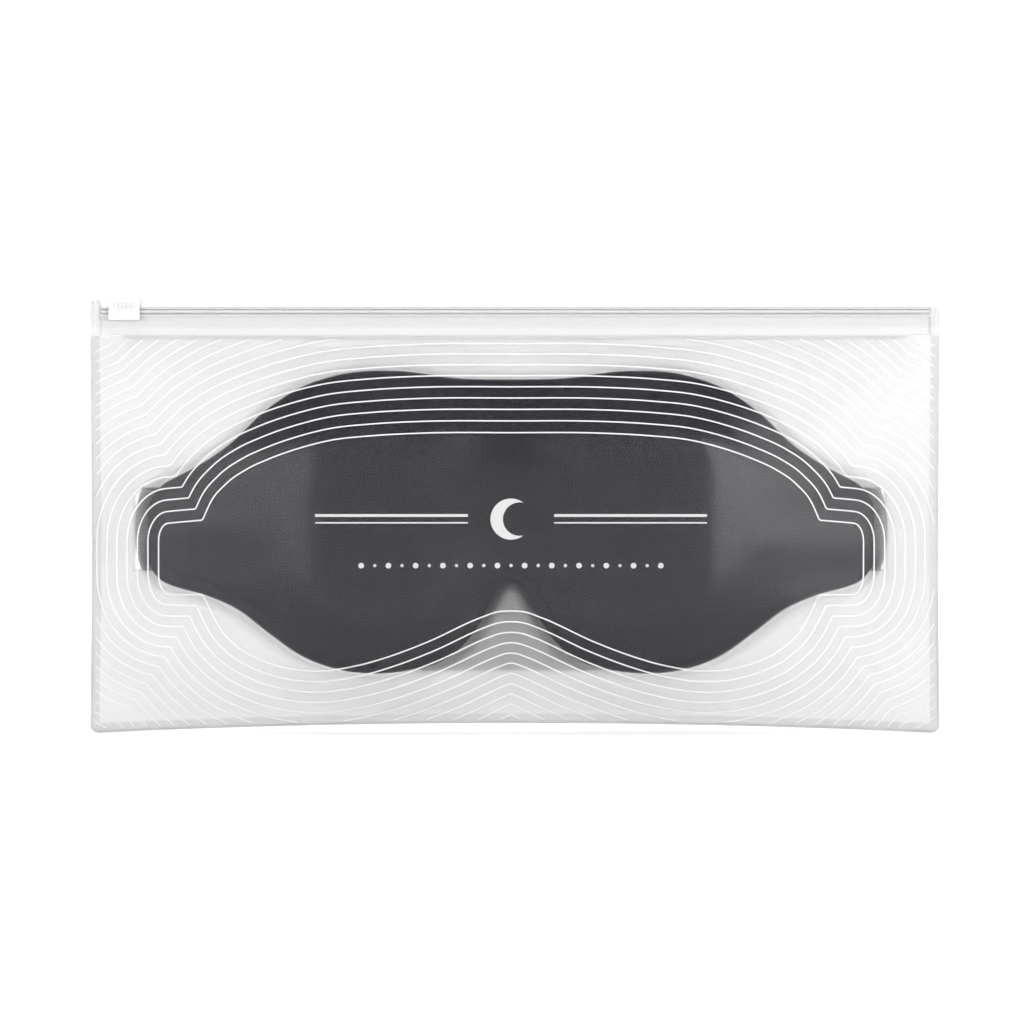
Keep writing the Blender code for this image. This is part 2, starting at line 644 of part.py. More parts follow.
def build_zip_slider():
    """The saddle that straddles both tracks, with a lip under each bottom ridge."""
    wall = TRACK_DEPTH + GAP
    lip = WELD_OFFSET + TRACK_BASE + GAP
    outer = ZIP_SLIDER_HALF_DEPTH
    waist = outer - 0.6 * MM
    bottom, top = ZIP_SLIDER_BOTTOM, ZIP_SLIDER_TOP
    roof = TRACK_TOP + GAP
    half = [(outer, bottom), (outer, bottom + 2.6 * MM), (waist, bottom + 3.8 * MM),
            (waist, top - 1.6 * MM), (outer - 0.2 * MM, top - 0.9 * MM), (outer - 0.8 * MM, top)]
    inner = [(wall, roof), (wall, bottom + ZIP_SLIDER_LIP), (lip, bottom + ZIP_SLIDER_LIP),
             (lip, bottom)]
    loop = half + [(-y, z) for y, z in reversed(half)]
    loop += [(-y, z) for y, z in reversed(inner)] + inner
    half_length = ZIP_SLIDER_LENGTH / 2
    middle = (RIDGE_BOTTOM + TRACK_TOP) / 2
    outline = [(y, z - middle) for y, z in loop]
    slider = add_prism("zip_slider", "slider_plastic", outline, (-half_length, half_length))
    slider.location = (ZIP_SLIDER_X, 0, middle)
    soften(slider, 0.2 * MM)
    return slider


def main():
    clear_scene()
    build_front_film()
    build_back_film()
    build_track("zip_track_front", -1, rib=True)
    build_track("zip_track_back", 1, rib=False)
    build_zip_slider()
    frame = add_empty("mask_frame", MASK_CENTRE)
    build_mask(frame)
    build_strap("strap_left", -1, -(RING_X - RING_BAR_OFFSET), LEFT_STRAP_END, frame)
    build_strap("strap_right", 1, RING_X + RING_BAR_OFFSET, RIGHT_STRAP_END, frame)
    build_ring(frame)
    build_strap_slider(frame)
    build_tab_stitch("tab_stitch_left", -1, frame)
    build_tab_stitch("tab_stitch_right", 1, frame)
    build_bartack(frame)


main()
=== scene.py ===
"""The looks of a contoured sleep eye mask lying in its frosted slider-zip pouch.

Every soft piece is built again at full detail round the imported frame: the mask's layers, the
straps, the two films and the print on the front one. Lengths are in metres, X runs along the
pouch, the front faces -Y and Z points up to the zip.
"""

import math

import bmesh
import bpy
import numpy as np
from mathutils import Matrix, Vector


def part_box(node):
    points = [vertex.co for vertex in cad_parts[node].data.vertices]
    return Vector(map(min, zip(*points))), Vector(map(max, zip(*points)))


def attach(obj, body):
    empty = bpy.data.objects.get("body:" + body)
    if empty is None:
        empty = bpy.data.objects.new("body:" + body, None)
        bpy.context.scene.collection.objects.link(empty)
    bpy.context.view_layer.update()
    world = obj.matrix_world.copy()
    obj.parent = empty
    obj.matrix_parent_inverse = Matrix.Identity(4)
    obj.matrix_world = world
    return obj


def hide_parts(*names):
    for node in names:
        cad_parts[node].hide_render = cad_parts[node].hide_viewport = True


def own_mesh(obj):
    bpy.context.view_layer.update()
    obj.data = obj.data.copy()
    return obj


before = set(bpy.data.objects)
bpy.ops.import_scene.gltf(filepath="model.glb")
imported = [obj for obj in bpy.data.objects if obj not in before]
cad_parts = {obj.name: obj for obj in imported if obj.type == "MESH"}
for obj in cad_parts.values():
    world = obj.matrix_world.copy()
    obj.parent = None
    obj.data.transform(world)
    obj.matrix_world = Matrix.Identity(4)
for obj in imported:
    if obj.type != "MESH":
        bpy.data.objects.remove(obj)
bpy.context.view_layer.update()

MM = 0.001
FRONT = -1
BACK = 1


def box(node):
    low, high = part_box(node)
    return np.array(low), np.array(high)


# Places taken from the frame
film_low, film_high = box("pouch_front_film")
track_low, track_high = box("zip_track_back")
mask_low, mask_high = box("mask_front_fabric")
ring_low, ring_high = box("strap_ring")
slide_low, slide_high = box("strap_slider")
saddle_low, saddle_high = box("zip_slider")
strap_low, strap_high = box("strap_left")
tack_low, tack_high = box("loop_bartack")
POUCH_HALF_WIDTH = film_high[0]
FILM_TOP = film_high[2]
FILM_FRONT = film_low[1]
FILM_BACK = box("pouch_back_film")[1][1]
MASK_X = (mask_low[0] + mask_high[0]) / 2
MASK_Z = (mask_low[2] + mask_high[2]) / 2
TAB_END = mask_high[0] - MASK_X
STRAP_LEVEL = (strap_low[2] + strap_high[2]) / 2
STRAP_HALF_WIDTH = (strap_high[2] - strap_low[2]) / 2

# Mask
TAB_CORNER = 6 * MM
MASK_TOP_LINE = ((0, 43.5), (16, 43.8), (34, 46.0), (52, 45.0), (64, 41.0), (76, 33.0),
                 (85, 24.3), (94, 18.0), (103, 13.2), (111, 9.0))
MASK_BOTTOM_LINE = ((0, -18.1), (4.5, -21.5), (9.7, -31.0), (15, -38.0), (22, -42.6), (32, -45.2),
                    (40, -46.0), (52, -44.9), (64, -40.5), (74, -33.5), (83, -26.6), (92, -22.5),
                    (103, -19.3), (111, -16.0))
EDGE_STEPS = (0, 0.25, 0.6, 1.0, 1.5, 2.0, 2.6, 3.2, 3.8, 4.6)  # rows near the rim, in mm
MASK_CELLS = (216, 76)
SEAM_BAND = 2 * MM
RIM_FRONT = 0.3 * MM
RIM_BACK = 3.5 * MM
RIM_ROUND = 0.78 * MM
FLAT_RIM = 2.5 * MM
NOTCH_SHADE_DROP = 27 * MM  # height of the sheet of painted shade in the nose notch
NOTCH_SHADE_LAP = 1.2 * MM
NOTCH_SHADE_BOW = 1.2 * MM
NOTCH_SHADE_THICKNESS = 0.3 * MM
PRESS_LINE = (3.4 * MM, 0.55 * MM, 0.28 * MM)  # where the pressed line lies, its width, its depth
SHOULDER = 18 * MM
SHOULDER_POWER = 2.2
DOME_RISE = 9.8 * MM
TAB_RISE = 1.5 * MM
DOME_OUTER = 92 * MM
DOME_RUNOUT = 34 * MM
BRIDGE_DIP = 0.35
BRIDGE_WIDTH = 16 * MM
CAVITY_CENTRE = (45 * MM, 0.0)
CAVITY_RADII = (27 * MM, 19 * MM)
CAVITY_DEPTH = 8 * MM
CAVITY_WALL = 0.5
FABRIC = 0.8 * MM
LAYER_GAP = 0.05 * MM

# Straps: depths are behind the mid plane, distances along X are from the nose
STRAP_THICKNESS = 0.9 * MM
SEWN_DEPTH = 4.35 * MM
INNER_DEPTH = 6.25 * MM
OUTER_DEPTH = 7.55 * MM
SEWN_START = 88 * MM
FOLD_CENTRE = 113.6 * MM
FOLD_BOW = 2.2 * MM
FOLD_FADE = 8 * MM
RING_X = (ring_low[0] + ring_high[0]) / 2 - MASK_X
RING_DEPTH = (ring_low[1] + ring_high[1]) / 2
RING_BAR_RADIUS = (ring_high[1] - ring_low[1]) / 2
RING_BAR_OFFSET = (ring_high[0] - ring_low[0]) / 2 - RING_BAR_RADIUS
RING_HALF_HEIGHT = (ring_high[2] - ring_low[2]) / 2 - RING_BAR_RADIUS
RING_CORNER = 2.2 * MM
LOOP_RADIUS = RING_BAR_RADIUS + 0.1 * MM + STRAP_THICKNESS / 2
LOOP_RUN = 7 * MM
LEFT_STRAP_END = 52 * MM
RIGHT_STRAP_END = 78 * MM
STITCH_CENTRE = 100 * MM
STITCH_HALF = (6 * MM, 9 * MM)
STITCH_LENGTH = 2.2 * MM
STITCH_ARCH = 0.28 * MM
STITCH_SINK = 0.12 * MM
TACK_STITCHES = 38
TACK_PITCH = 0.58 * MM

# Zip
TRACK_TOP = 129.2 * MM
TRACK_BACK = 0.10 * MM  # face towards the other half
TRACK_FLANGE = 0.75 * MM
TRACK_BODY = (125.9 * MM, 0.25 * MM)  # above this height the plastic is thicker by this
TRACK_CORNER = 2.2 * MM
CRUSHED_END = 3.4 * MM
CRUSHED_DEPTH = 1.45 * MM
FLUTES = (0.14 * MM, 0.55 * MM)  # height and half pitch of the sealing bar's marks
TONGUE = (120 * MM, 1.2 * MM)  # between the crushed ends the flange reaches down between the films
FLANGE_EDGE = (122.6 * MM, 123.4 * MM)  # heights between which the plastic thickens
TRACK_RIDGES = ((126.6, 0.42, 0.8), (127.75, 0.52, 0.95), (128.75, 0.36, 0.8))  # in mm

# Films
FILM_THICKNESS = 0.3 * MM
WELD_WIDTH = 3 * MM
WELD_CORNER = 2.4 * MM
SIDE_PULL = 0.5 * MM
BOTTOM_BOW = 2.9 * MM
WELD_SHADE = 0.93  # colour of the pressed welds against the film
WELD_OFFSET = 0.03 * MM
FLANGE_OFFSET = 0.80 * MM
FRONT_CLEARANCE = 0.45 * MM
BACK_CLEARANCE = 0.4 * MM
SOFTENING = 14  # rounds of smoothing that round off the contact
SOFTENING_DIP = 0.3 * MM
LIMIT_ROUNDING = 0.3 * MM  # how gently the film meets its outermost plane
SLIDE_ROOM = 17 * MM  # the strap's slide travels 15 mm each way
STANDING_OFF = (1 * MM, 8 * MM)  # gaps at which the film starts and ends blurring
BESIDE = (0.2 * MM, 5 * MM)  # distances beside the load for its clouding
FAN_HEIGHT = 0.08 * MM  # folds that fan out of the corners
FAN_RANGE = (22 * MM, 62 * MM, 34 * MM)  # grown by, gone at, faded over
RIPPLE_HEIGHT = 0.05 * MM  # puckers along the seams
RIPPLE_PITCH = 1.9 * MM
SWAYS = ((34 * MM, 0.30 * MM), (19 * MM, 0.16 * MM), (9 * MM, 0.02 * MM))  # length and height
DRAPE_LEVELS = ((64, 30, 900), (128, 60, 500), (256, 120, 260))  # cells across, cells up, rounds
FILM_CELLS = (228, 104)
FILM_EDGE_STEPS = tuple(0.4 * step for step in range(11))  # lines near the welds, in mm

# Print: the mask's outline echoed outwards, in mm from the mask's centre
PRINT_TOP = ((0, 27.1), (27, 26.9), (42, 26.1), (54, 24.8), (62, 22.9), (73, 19.2), (80, 16.0),
             (86.5, 11.4), (91, 6.0), (93.4, 0.7))
PRINT_BOTTOM = ((0, -26.75), (4, -27.0), (9, -28.7), (25.4, -36.2), (37, -40.6), (46, -43.2),
                (61, -45.0), (69, -43.9), (76.5, -41.4), (82.5, -38.0), (88, -32.4), (93.4, -21.9))
PRINT_TAB_END = 106.9
PRINT_TAB_TOP = -0.2
PRINT_TAB_CORNERS = ((3.2, 5.5), (3.2, 6.5))  # across and up, upper and lower corner
PRINT_LINES = 30
PRINT_PITCH = 3.28 * MM
PRINT_SHRINK = 0.006
PRINT_UP_STRETCH = 1.09  # the pitch is a little wider upwards
PRINT_STEP = 0.4 * MM
PRINT_HALF_WIDTH = 0.2 * MM
PRINT_LIFTS = (0.06 * MM, 0.005 * MM)  # outer and inner face of the ink, off the film

# Studio
SKY = ((0.0, 0.255), (0.17, 0.255), (0.28, 0.0875), (0.72, 0.0875), (0.92, 0.9))  # height, shade
SKY_STRENGTH = (4.0, 3.3)  # ahead and to the sides
LIGHT_AIM = (0, 0, 60 * MM)
VIEW_WIDTH = 311.3 * MM
VIEW_CENTRE = (-0.9 * MM, 66.9 * MM)
LEFT_POWER = 8.3
RIGHT_POWER = 10.8


# ---- small tools

def smoothstep(value):
    value = np.clip(value, 0, 1)
    return value * value * (3 - 2 * value)


def points(x, y, z):
    return np.stack(np.broadcast_arrays(x, y, z), axis=-1).astype(float)


def arc(centre, radii, start, end, count):
    """Points on an arc of a circle or of an ellipse (radii across and up), angles in degrees."""
    turn = np.radians(np.linspace(start, end, count))
    across, up = np.broadcast_to(radii, 2)
    return np.stack((centre[0] + across * np.cos(turn), centre[1] + up * np.sin(turn)), 1)


def run_along(path):
    """Distance along a path at each of its points."""
    return np.concatenate(([0], np.cumsum(np.linalg.norm(np.diff(path, axis=0), axis=1))))


def even(path, step):
    """The same path with points at even steps."""
    run = run_along(path)
    at = np.linspace(0, run[-1], max(3, int(run[-1] / step)))
    return np.stack((np.interp(at, run, path[:, 0]), np.interp(at, run, path[:, 1])), 1)


def headings(path, closed=False):
    """Unit direction of a path at each of its points."""
    run = np.roll(path, -1, 0) - np.roll(path, 1, 0) if closed else np.gradient(path, axis=0)
    return run / np.maximum(np.linalg.norm(run, axis=1)[:, None], 1e-9)


def sideways(path):
    """Unit direction square to a flat path at each of its points."""
    along = headings(path)
    return np.stack((-along[:, 1], along[:, 0]), 1)


def edge_lines(length, steps, cells):
    """Positions along a length, with the given close steps (mm) at both ends."""
    steps = np.array(steps) * MM
    middle = np.linspace(steps[-1], length - steps[-1], cells + 1)
    return np.concatenate((steps[:-1], middle, length - steps[-2::-1]))


def sheet_faces(rows, columns):
    """Quads of a closed sheet made of an outer grid followed by an inner grid."""
    index = np.arange(rows * columns).reshape(rows, columns)
    count = rows * columns
    quads = np.stack((index[:-1, :-1], index[:-1, 1:], index[1:, 1:], index[1:, :-1]), -1)
    quads = quads.reshape(-1, 4)
    rim = np.concatenate((index[0, :-1], index[:-1, -1], index[-1, :0:-1], index[:0:-1, 0]))
    follow = np.roll(rim, -1)
    wall = np.stack((follow, rim, rim + count, follow + count), -1)
    return np.concatenate((quads, quads[:, ::-1] + count, wall))


def volume_of(verts, faces):
    """Signed volume inside closed quads, positive when they face outwards."""
    a, b, c, d = (verts[faces[:, k]] for k in range(4))
    six = np.einsum("ij,ij->i", a, np.cross(b, c)) + np.einsum("ij,ij->i", a, np.cross(c, d))
    return six.sum() / 6


def piece(name, verts, faces, material, body, slot, replaced=()):
    """A named, smooth-shaded mesh that rides on a body and may stand for CAD nodes."""
    verts = np.asarray(verts, float).reshape(-1, 3)
    faces = np.asarray(faces)
    if volume_of(verts, faces) < 0:
        faces = faces[:, ::-1]
    mesh = bpy.data.meshes.new(name)
    mesh.from_pydata(verts.tolist(), [], faces.tolist())
    mesh.validate()
    return finish_piece(name, mesh, material, body, replaced)


def linked(name, data):
    """A new object with the given data, in the scene."""
    item = bpy.data.objects.new(name, data)
    bpy.context.scene.collection.objects.link(item)
    return item


def finish_piece(name, mesh, material, body, replaced=(), sharp=40):
    mesh.shade_smooth()
    mesh.set_sharp_from_angle(angle=math.radians(sharp))
    mesh.materials.append(material)
    item = linked(name, mesh)
    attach(item, body)
    if replaced:
        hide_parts(*replaced)
    return item


def sheet(name, outer, inner, material, body, slot, replaced=()):
    verts = np.concatenate((outer.reshape(-1, 3), inner.reshape(-1, 3)))
    return piece(name, verts, sheet_faces(*outer.shape[:2]), material, body, slot, replaced)


def tube_parts(path, radii, closed=False, sides=10):
    """Verts and quads of a round tube along a path of points, joined up if it is closed."""
    tangent = headings(path, closed)
    start = np.array((0, 1.0, 0)) if abs(tangent[0][1]) < 0.9 else np.array((1.0, 0, 0))
    side = start - tangent * (tangent @ start)[:, None]
    side /= np.linalg.norm(side, axis=1)[:, None]
    other = np.cross(tangent, side)
    turn = np.linspace(0, math.tau, sides, endpoint=False)
    radii = np.broadcast_to(radii, len(path))[:, None, None]
    hoops = path[:, None] + radii * (np.cos(turn)[None, :, None] * side[:, None]
                                     + np.sin(turn)[None, :, None] * other[:, None])
    index = np.arange(len(path) * sides).reshape(-1, sides)
    here = index if closed else index[:-1]
    there = np.roll(index, -1, 0) if closed else index[1:]
    quads = np.stack((here, np.roll(here, -1, 1), np.roll(there, -1, 1), there), -1).reshape(-1, 4)
    return hoops.reshape(-1, 3), quads


def capsule(path, radius, sides=8):
    """Verts and quads of a tube whose radius closes at both ends."""
    count = len(path)
    share = np.linspace(-1, 1, count)
    radii = radius * np.maximum(1 - share**6, 0.02)
    verts, quads = tube_parts(path, radii, sides=sides)
    caps = []
    for base in (0, (count - 1) * sides):
        loop = [base + k for k in range(sides)]
        for k in range(1, sides - 1, 2):
            quad = [loop[0], loop[k], loop[k + 1], loop[(k + 2) % sides]]
            caps.append(quad if base else quad[::-1])
    return verts, np.concatenate((quads, np.array(caps)))


def many(parts):
    """Several sets of verts and quads as one."""
    verts, faces, count = [], [], 0
    for part_verts, part_faces in parts:
        if volume_of(part_verts, part_faces) < 0:
            part_faces = part_faces[:, ::-1]
        verts.append(part_verts)
        faces.append(part_faces + count)
        count += len(part_verts)
    return np.concatenate(verts), np.concatenate(faces)


# ---- materials

def add_node(tree, kind, inputs=(), **settings):
    """A new node; each input is given a value or another node's output."""
    node = tree.nodes.new(kind)
    for key, value in settings.items():
        setattr(node, key, value)
    for key, value in dict(inputs).items():
        if isinstance(value, bpy.types.NodeSocket):
            tree.links.new(value, node.inputs[key])
        else:
            node.inputs[key].default_value = value
    return node


class Look:
    """A Principled material and a short way to add nodes to it."""

    def __init__(self, name, **values):
        self.material = bpy.data.materials.new(name)
        self.material.use_nodes = True
        self.tree = self.material.node_tree
        self.shader = self.tree.nodes["Principled BSDF"]
        for key, value in values.items():
            self.shader.inputs[key.replace("_", " ")].default_value = value
        self.place = self.add("ShaderNodeTexCoord").outputs["Object"]

    def add(self, kind, inputs=(), **settings):
        return add_node(self.tree, kind, inputs, **settings)

    def link(self, output, name):
        self.tree.links.new(output, self.shader.inputs[name])

    def noise(self, size, detail=2.0, stretch=(1, 1, 1)):
        """Noise whose features are about size metres across."""
        spread = self.add("ShaderNodeMapping", {"Vector": self.place, "Scale": stretch})
        return self.add("ShaderNodeTexNoise", {"Vector": spread.outputs[0], "Scale": 1 / size,
                                               "Detail": detail}).outputs["Fac"]

    def wave(self, period, turn=0.0, wobble=0.0):
        """Even bands across the XZ plane, turned by an angle in degrees."""
        rotation = (0, math.radians(turn), 0)
        lean = self.add("ShaderNodeMapping", {"Vector": self.place, "Rotation": rotation})
        return self.add("ShaderNodeTexWave", {"Vector": lean.outputs[0],
                                              "Scale": math.tau / (20 * period),
                                              "Distortion": wobble, "Detail": 1.0},
                        bands_direction="X").outputs["Fac"]

    def maths(self, operation, a, b):
        return self.add("ShaderNodeMath", {0: a, 1: b}, operation=operation).outputs[0]

    def weigh(self, *parts):
        """Weighted sum of two (value, weight) pairs."""
        return self.maths("ADD", *(self.maths("MULTIPLY", *part) for part in parts))

    def height(self):
        """Height in the object's own coordinates."""
        return self.add("ShaderNodeSeparateXYZ", {0: self.place}).outputs["Z"]

    def painted(self, name):
        """A value that the mesh carries at its points."""
        return self.add("ShaderNodeAttribute", attribute_name=name).outputs["Fac"]

    def colour(self, value, low, high, colours):
        """Base colour that goes from one colour to another as value goes from low to high."""
        ramp = self.add("ShaderNodeValToRGB", {"Fac": value})
        for element, place, colour in zip(ramp.color_ramp.elements, (low, high), colours):
            element.position = place
            element.color = (*colour, 1)
        self.link(ramp.outputs["Color"], "Base Color")

    def spread(self, value, low, high, start=0.0, end=1.0):
        """Value from start..end spread between low and high."""
        return self.add("ShaderNodeMapRange", {"Value": value, "From Min": start, "From Max": end,
                                               "To Min": low, "To Max": high}).outputs["Result"]

    def bump(self, height, depth, strength=1.0):
        node = self.add("ShaderNodeBump", {"Height": height, "Distance": depth,
                                           "Strength": strength})
        self.link(node.outputs["Normal"], "Normal")


def knit_look():
    """Fine charcoal knit: V-shaped stitches, a little heather and a soft sheen."""
    look = Look("charcoal_knit", Roughness=0.85, Sheen_Weight=0.06, Sheen_Roughness=0.45,
                Specular_IOR_Level=0.15)
    stitches = look.maths("MAXIMUM", look.wave(0.62 * MM, 32), look.wave(0.62 * MM, -32))
    fuzz = look.maths("MULTIPLY", look.noise(0.25 * MM, 3), 0.6)
    look.bump(look.maths("ADD", stitches, fuzz), 0.10 * MM, 0.8)
    heather = look.weigh((look.noise(9 * MM, 3), 0.75), (stitches, 0.25))
    look.colour(heather, 0.25, 0.8, ((0.008, 0.0085, 0.014), (0.015, 0.0155, 0.024)))
    look.link(look.spread(look.noise(4 * MM), 0.78, 0.92), "Roughness")
    return look.material


def lining_look():
    """Brushed lining with a short nap."""
    look = Look("brushed_lining", Roughness=0.95, Sheen_Weight=0.5, Sheen_Roughness=0.5)
    nap = look.noise(0.35 * MM, 4, (1, 1, 0.5))
    look.bump(nap, 0.16 * MM, 0.9)
    look.colour(look.weigh((nap, 0.5), (look.noise(14 * MM), 0.5)), 0.3, 0.75,
                ((0.026, 0.026, 0.031), (0.052, 0.052, 0.060)))
    return look.material


def notch_shade_look():
    """Painted shade for the nose notch: a sheet, dark and dense at its top and pale and open lower down,
    with a fine crossed mesh in its bump.
    """
    look = Look("painted_notch_shade", Roughness=0.5, IOR=1.15)
    mesh = look.maths("MULTIPLY", look.wave(0.6 * MM, 45, 0.3), look.wave(0.6 * MM, -45, 0.3))
    look.bump(mesh, 0.05 * MM)
    top = MASK_Z + mask_edges(np.zeros(1))[0][0]
    share = look.spread(look.height(), 0.0, 1.0, top - NOTCH_SHADE_DROP, top)
    grained = look.maths("ADD", share, look.spread(mesh, -0.03, 0.03))
    # painted shade: darkest at the top of the notch, paler lower down
    look.colour(grained, 0.0, 0.7, ((0.55, 0.55, 0.55), (0.03, 0.03, 0.035)))
    # painted shade: less see-through at the top of the notch, clearer lower down
    look.link(look.spread(grained, 0.75, 0.25), "Transmission Weight")
    return look.material


def webbing_look():
    """Woven elastic: cords along the strap, weft across it."""
    look = Look("elastic_webbing", Roughness=0.75, Sheen_Weight=0.2, Sheen_Roughness=0.4)
    weave = look.weigh((look.wave(1.1 * MM, 90), 0.65), (look.wave(0.7 * MM, 0, 0.3), 0.35))
    look.bump(weave, 0.16 * MM, 0.9)
    look.colour(look.weigh((weave, 0.6), (look.noise(6 * MM), 0.4)), 0.2, 0.8,
                ((0.075, 0.077, 0.083), (0.15, 0.152, 0.162)))
    return look.material


def thread_look():
    look = Look("spun_thread", Roughness=0.6, Sheen_Weight=0.3, Sheen_Roughness=0.4)
    twist = look.wave(0.35 * MM, 40)
    look.bump(twist, 0.06 * MM)
    look.colour(twist, 0.1, 0.9, ((0.05, 0.05, 0.056), (0.10, 0.10, 0.11)))
    return look.material


def film_look(name, clear, milky, shade):
    """Frosted film: clear on the load, more blurring where it stands off and milky beside it."""
    look = Look(name, Roughness=0.4, IOR=1.28)
    grain = look.noise(0.5 * MM, 4)
    cloud = look.noise(26 * MM, 3)
    look.bump(look.maths("ADD", grain, look.maths("MULTIPLY", cloud, 0.4)), 0.02 * MM, 0.5)
    patchy = look.maths("MULTIPLY", look.painted("beside"), look.spread(cloud, 0.9, 1.1))
    look.link(look.spread(patchy, 1 - clear, 1 - milky), "Transmission Weight")
    look.colour(look.painted("welded"), 0.1, 0.9, ((shade,) * 3, (shade * WELD_SHADE,) * 3))
    off = look.maths("MULTIPLY", look.painted("standing_off"), 0.02)
    look.link(look.maths("ADD", look.spread(grain, 0.20, 0.25), off), "Roughness")
    return look.material


def zip_look():
    """Translucent extruded plastic with faint draw lines, thinner in the flange."""
    look = Look("zip_plastic", Roughness=0.3, IOR=1.4, Transmission_Weight=0.3)
    grain = look.noise(1.5 * MM, 3, (0.02, 1, 1))
    look.bump(grain, 0.01 * MM, 0.1)
    thick = look.spread(look.height(), 0.0, 1.0, *FLANGE_EDGE)
    look.colour(look.weigh((thick, 0.8), (grain, 0.2)), 0.1, 0.9,
                ((0.76, 0.76, 0.76), (0.70, 0.70, 0.705)))
    look.link(look.spread(grain, 0.24, 0.4), "Roughness")
    return look.material


def grained_look(name, grain, depth, strength, colours, patches=None, roughness=None, **values):
    """A moulded or printed surface: fine grain, and colour in larger patches or in the grain."""
    look = Look(name, **values)
    grain = look.noise(*grain)
    look.bump(grain, depth, strength)
    look.colour(look.noise(patches) if patches else grain, 0.3, 0.7, colours)
    if roughness:
        look.link(look.spread(grain, *roughness), "Roughness")
    return look.material


def foam_look():
    return grained_look("moulded_foam", (0.5 * MM, 4), 0.2 * MM, 1.0,
                        ((0.08, 0.08, 0.09), (0.15, 0.15, 0.16)), Roughness=0.95)


def black_plastic_look():
    return grained_look("black_plastic", (0.3 * MM, 3), 0.02 * MM, 0.5,
                        ((0.014, 0.014, 0.016), (0.026, 0.026, 0.028)),
                        5 * MM, (0.34, 0.5), Roughness=0.4)


def mark_look():
    return grained_look("weld_mark", (0.3 * MM, 2), 0.02 * MM, 1.0,
                        ((0.45, 0.45, 0.46), (0.65, 0.65, 0.66)), Roughness=0.5)


def slider_look():
    return grained_look("slider_plastic", (0.8 * MM, 3), 0.03 * MM, 0.4,
                        ((0.60, 0.60, 0.595), (0.64, 0.64, 0.63)), 3 * MM, (0.22, 0.36),
                        Roughness=0.28, Subsurface_Weight=0.15, Subsurface_Scale=1 * MM,
                        Subsurface_Radius=(1, 1, 1))


def ink_look(name, low, high):
    return grained_look(name, (0.4 * MM, 3), 0.02 * MM, 0.5, ((low,) * 3, (high,) * 3),
                        Roughness=0.45)


# ---- mask

def smooth_line(control, x):
    """Height at x of a smooth curve through control points in mm, level at its first point."""
    knots = np.array(control, dtype=float) * MM
    slopes = np.gradient(knots[:, 1], knots[:, 0])
    slopes[0] = 0.0
    place = np.clip(np.searchsorted(knots[:, 0], x, side="right") - 1, 0, len(knots) - 2)
    step = knots[place + 1, 0] - knots[place, 0]
    t = (x - knots[place, 0]) / step
    start = knots[place, 1] * (2 * t**3 - 3 * t**2 + 1) + slopes[place] * step * (t**3 - 2 * t**2 + t)
    end = knots[place + 1, 1] * (3 * t**2 - 2 * t**3) + slopes[place + 1] * step * (t**3 - t**2)
    return start + end


def mask_edges(x):
    """Bottom and top of the mask's outline at each x, with rounded tab corners."""
    reach = np.minimum(np.abs(x), TAB_END)
    turn = np.clip(reach - (TAB_END - TAB_CORNER), 0, TAB_CORNER)
    drop = TAB_CORNER - np.sqrt(np.maximum(TAB_CORNER**2 - turn**2, 0))
    return smooth_line(MASK_BOTTOM_LINE, reach) + drop, smooth_line(MASK_TOP_LINE, reach) - drop


def mask_outline():
    turns = np.sin(np.radians(np.arange(10, 91, 10))) * TAB_CORNER + TAB_END - TAB_CORNER
    half = np.concatenate((np.linspace(0, TAB_END - TAB_CORNER, 120), turns))
    x = np.concatenate((-half[:0:-1], half))
    bottom, top = mask_edges(x)
    return np.concatenate((np.stack((x, bottom), 1), np.stack((x, top), 1)[::-1]))


def distance_to(loop, x, z):
    """Distance from each point to a closed loop of (x, z) points."""
    run = np.roll(loop, -1, axis=0) - loop
    length = np.maximum((run * run).sum(-1), 1e-14)
    flat = np.stack((np.ravel(x), np.ravel(z)), -1)
    found = []
    for part in np.array_split(flat, max(1, len(flat) // 1500)):
        place = part[:, None, :] - loop
        along = np.clip((place * run).sum(-1) / length, 0, 1)
        found.append(np.sqrt(((place - along[..., None] * run) ** 2).sum(-1)).min(-1))
    return np.concatenate(found).reshape(np.shape(x))


OUTLINE = mask_outline()


def dome_rise(x):
    """How far the front stands out over each place across the mask."""
    reach = np.abs(x)
    side = smoothstep((DOME_OUTER - reach) / DOME_RUNOUT)
    bridge = 1 - BRIDGE_DIP * np.exp(-((reach / BRIDGE_WIDTH) ** 2))
    return TAB_RISE + (DOME_RISE - TAB_RISE) * side * bridge


def rim_turn(inside):
    """How far each fabric turns in where the two are pressed together at the rim."""
    share = np.clip(1 - inside / SEAM_BAND, 0, 1)
    return RIM_ROUND * (1 - np.sqrt(1 - share**2))


def pressed(inside):
    """Depth of the line pressed all round, a little way in from the rim."""
    place, width, depth = PRESS_LINE
    return depth * np.exp(-(((inside - place) / width) ** 2))


def mask_front(x, z, inside):
    """Y of the mask's front face: two domes, a bridge over the nose and two tabs."""
    share = 1 - (1 - np.clip((inside - FLAT_RIM) / SHOULDER, 0, 1)) ** SHOULDER_POWER
    sway = 0.12 * MM * np.sin(x / (13 * MM) + 1.3) * np.sin(z / (11 * MM) + 0.4)
    return RIM_FRONT + rim_turn(inside) + pressed(inside) + (sway - dome_rise(x)) * share


def mask_back(x, z, inside):
    """Y of the mask's face side, with the two eye cavities."""
    across = (np.abs(x) - CAVITY_CENTRE[0]) / CAVITY_RADII[0]
    up = (z - CAVITY_CENTRE[1]) / CAVITY_RADII[1]
    hollow = CAVITY_DEPTH * smoothstep((1 - np.hypot(across, up)) / CAVITY_WALL)
    return RIM_BACK - rim_turn(inside) - pressed(inside) - hollow


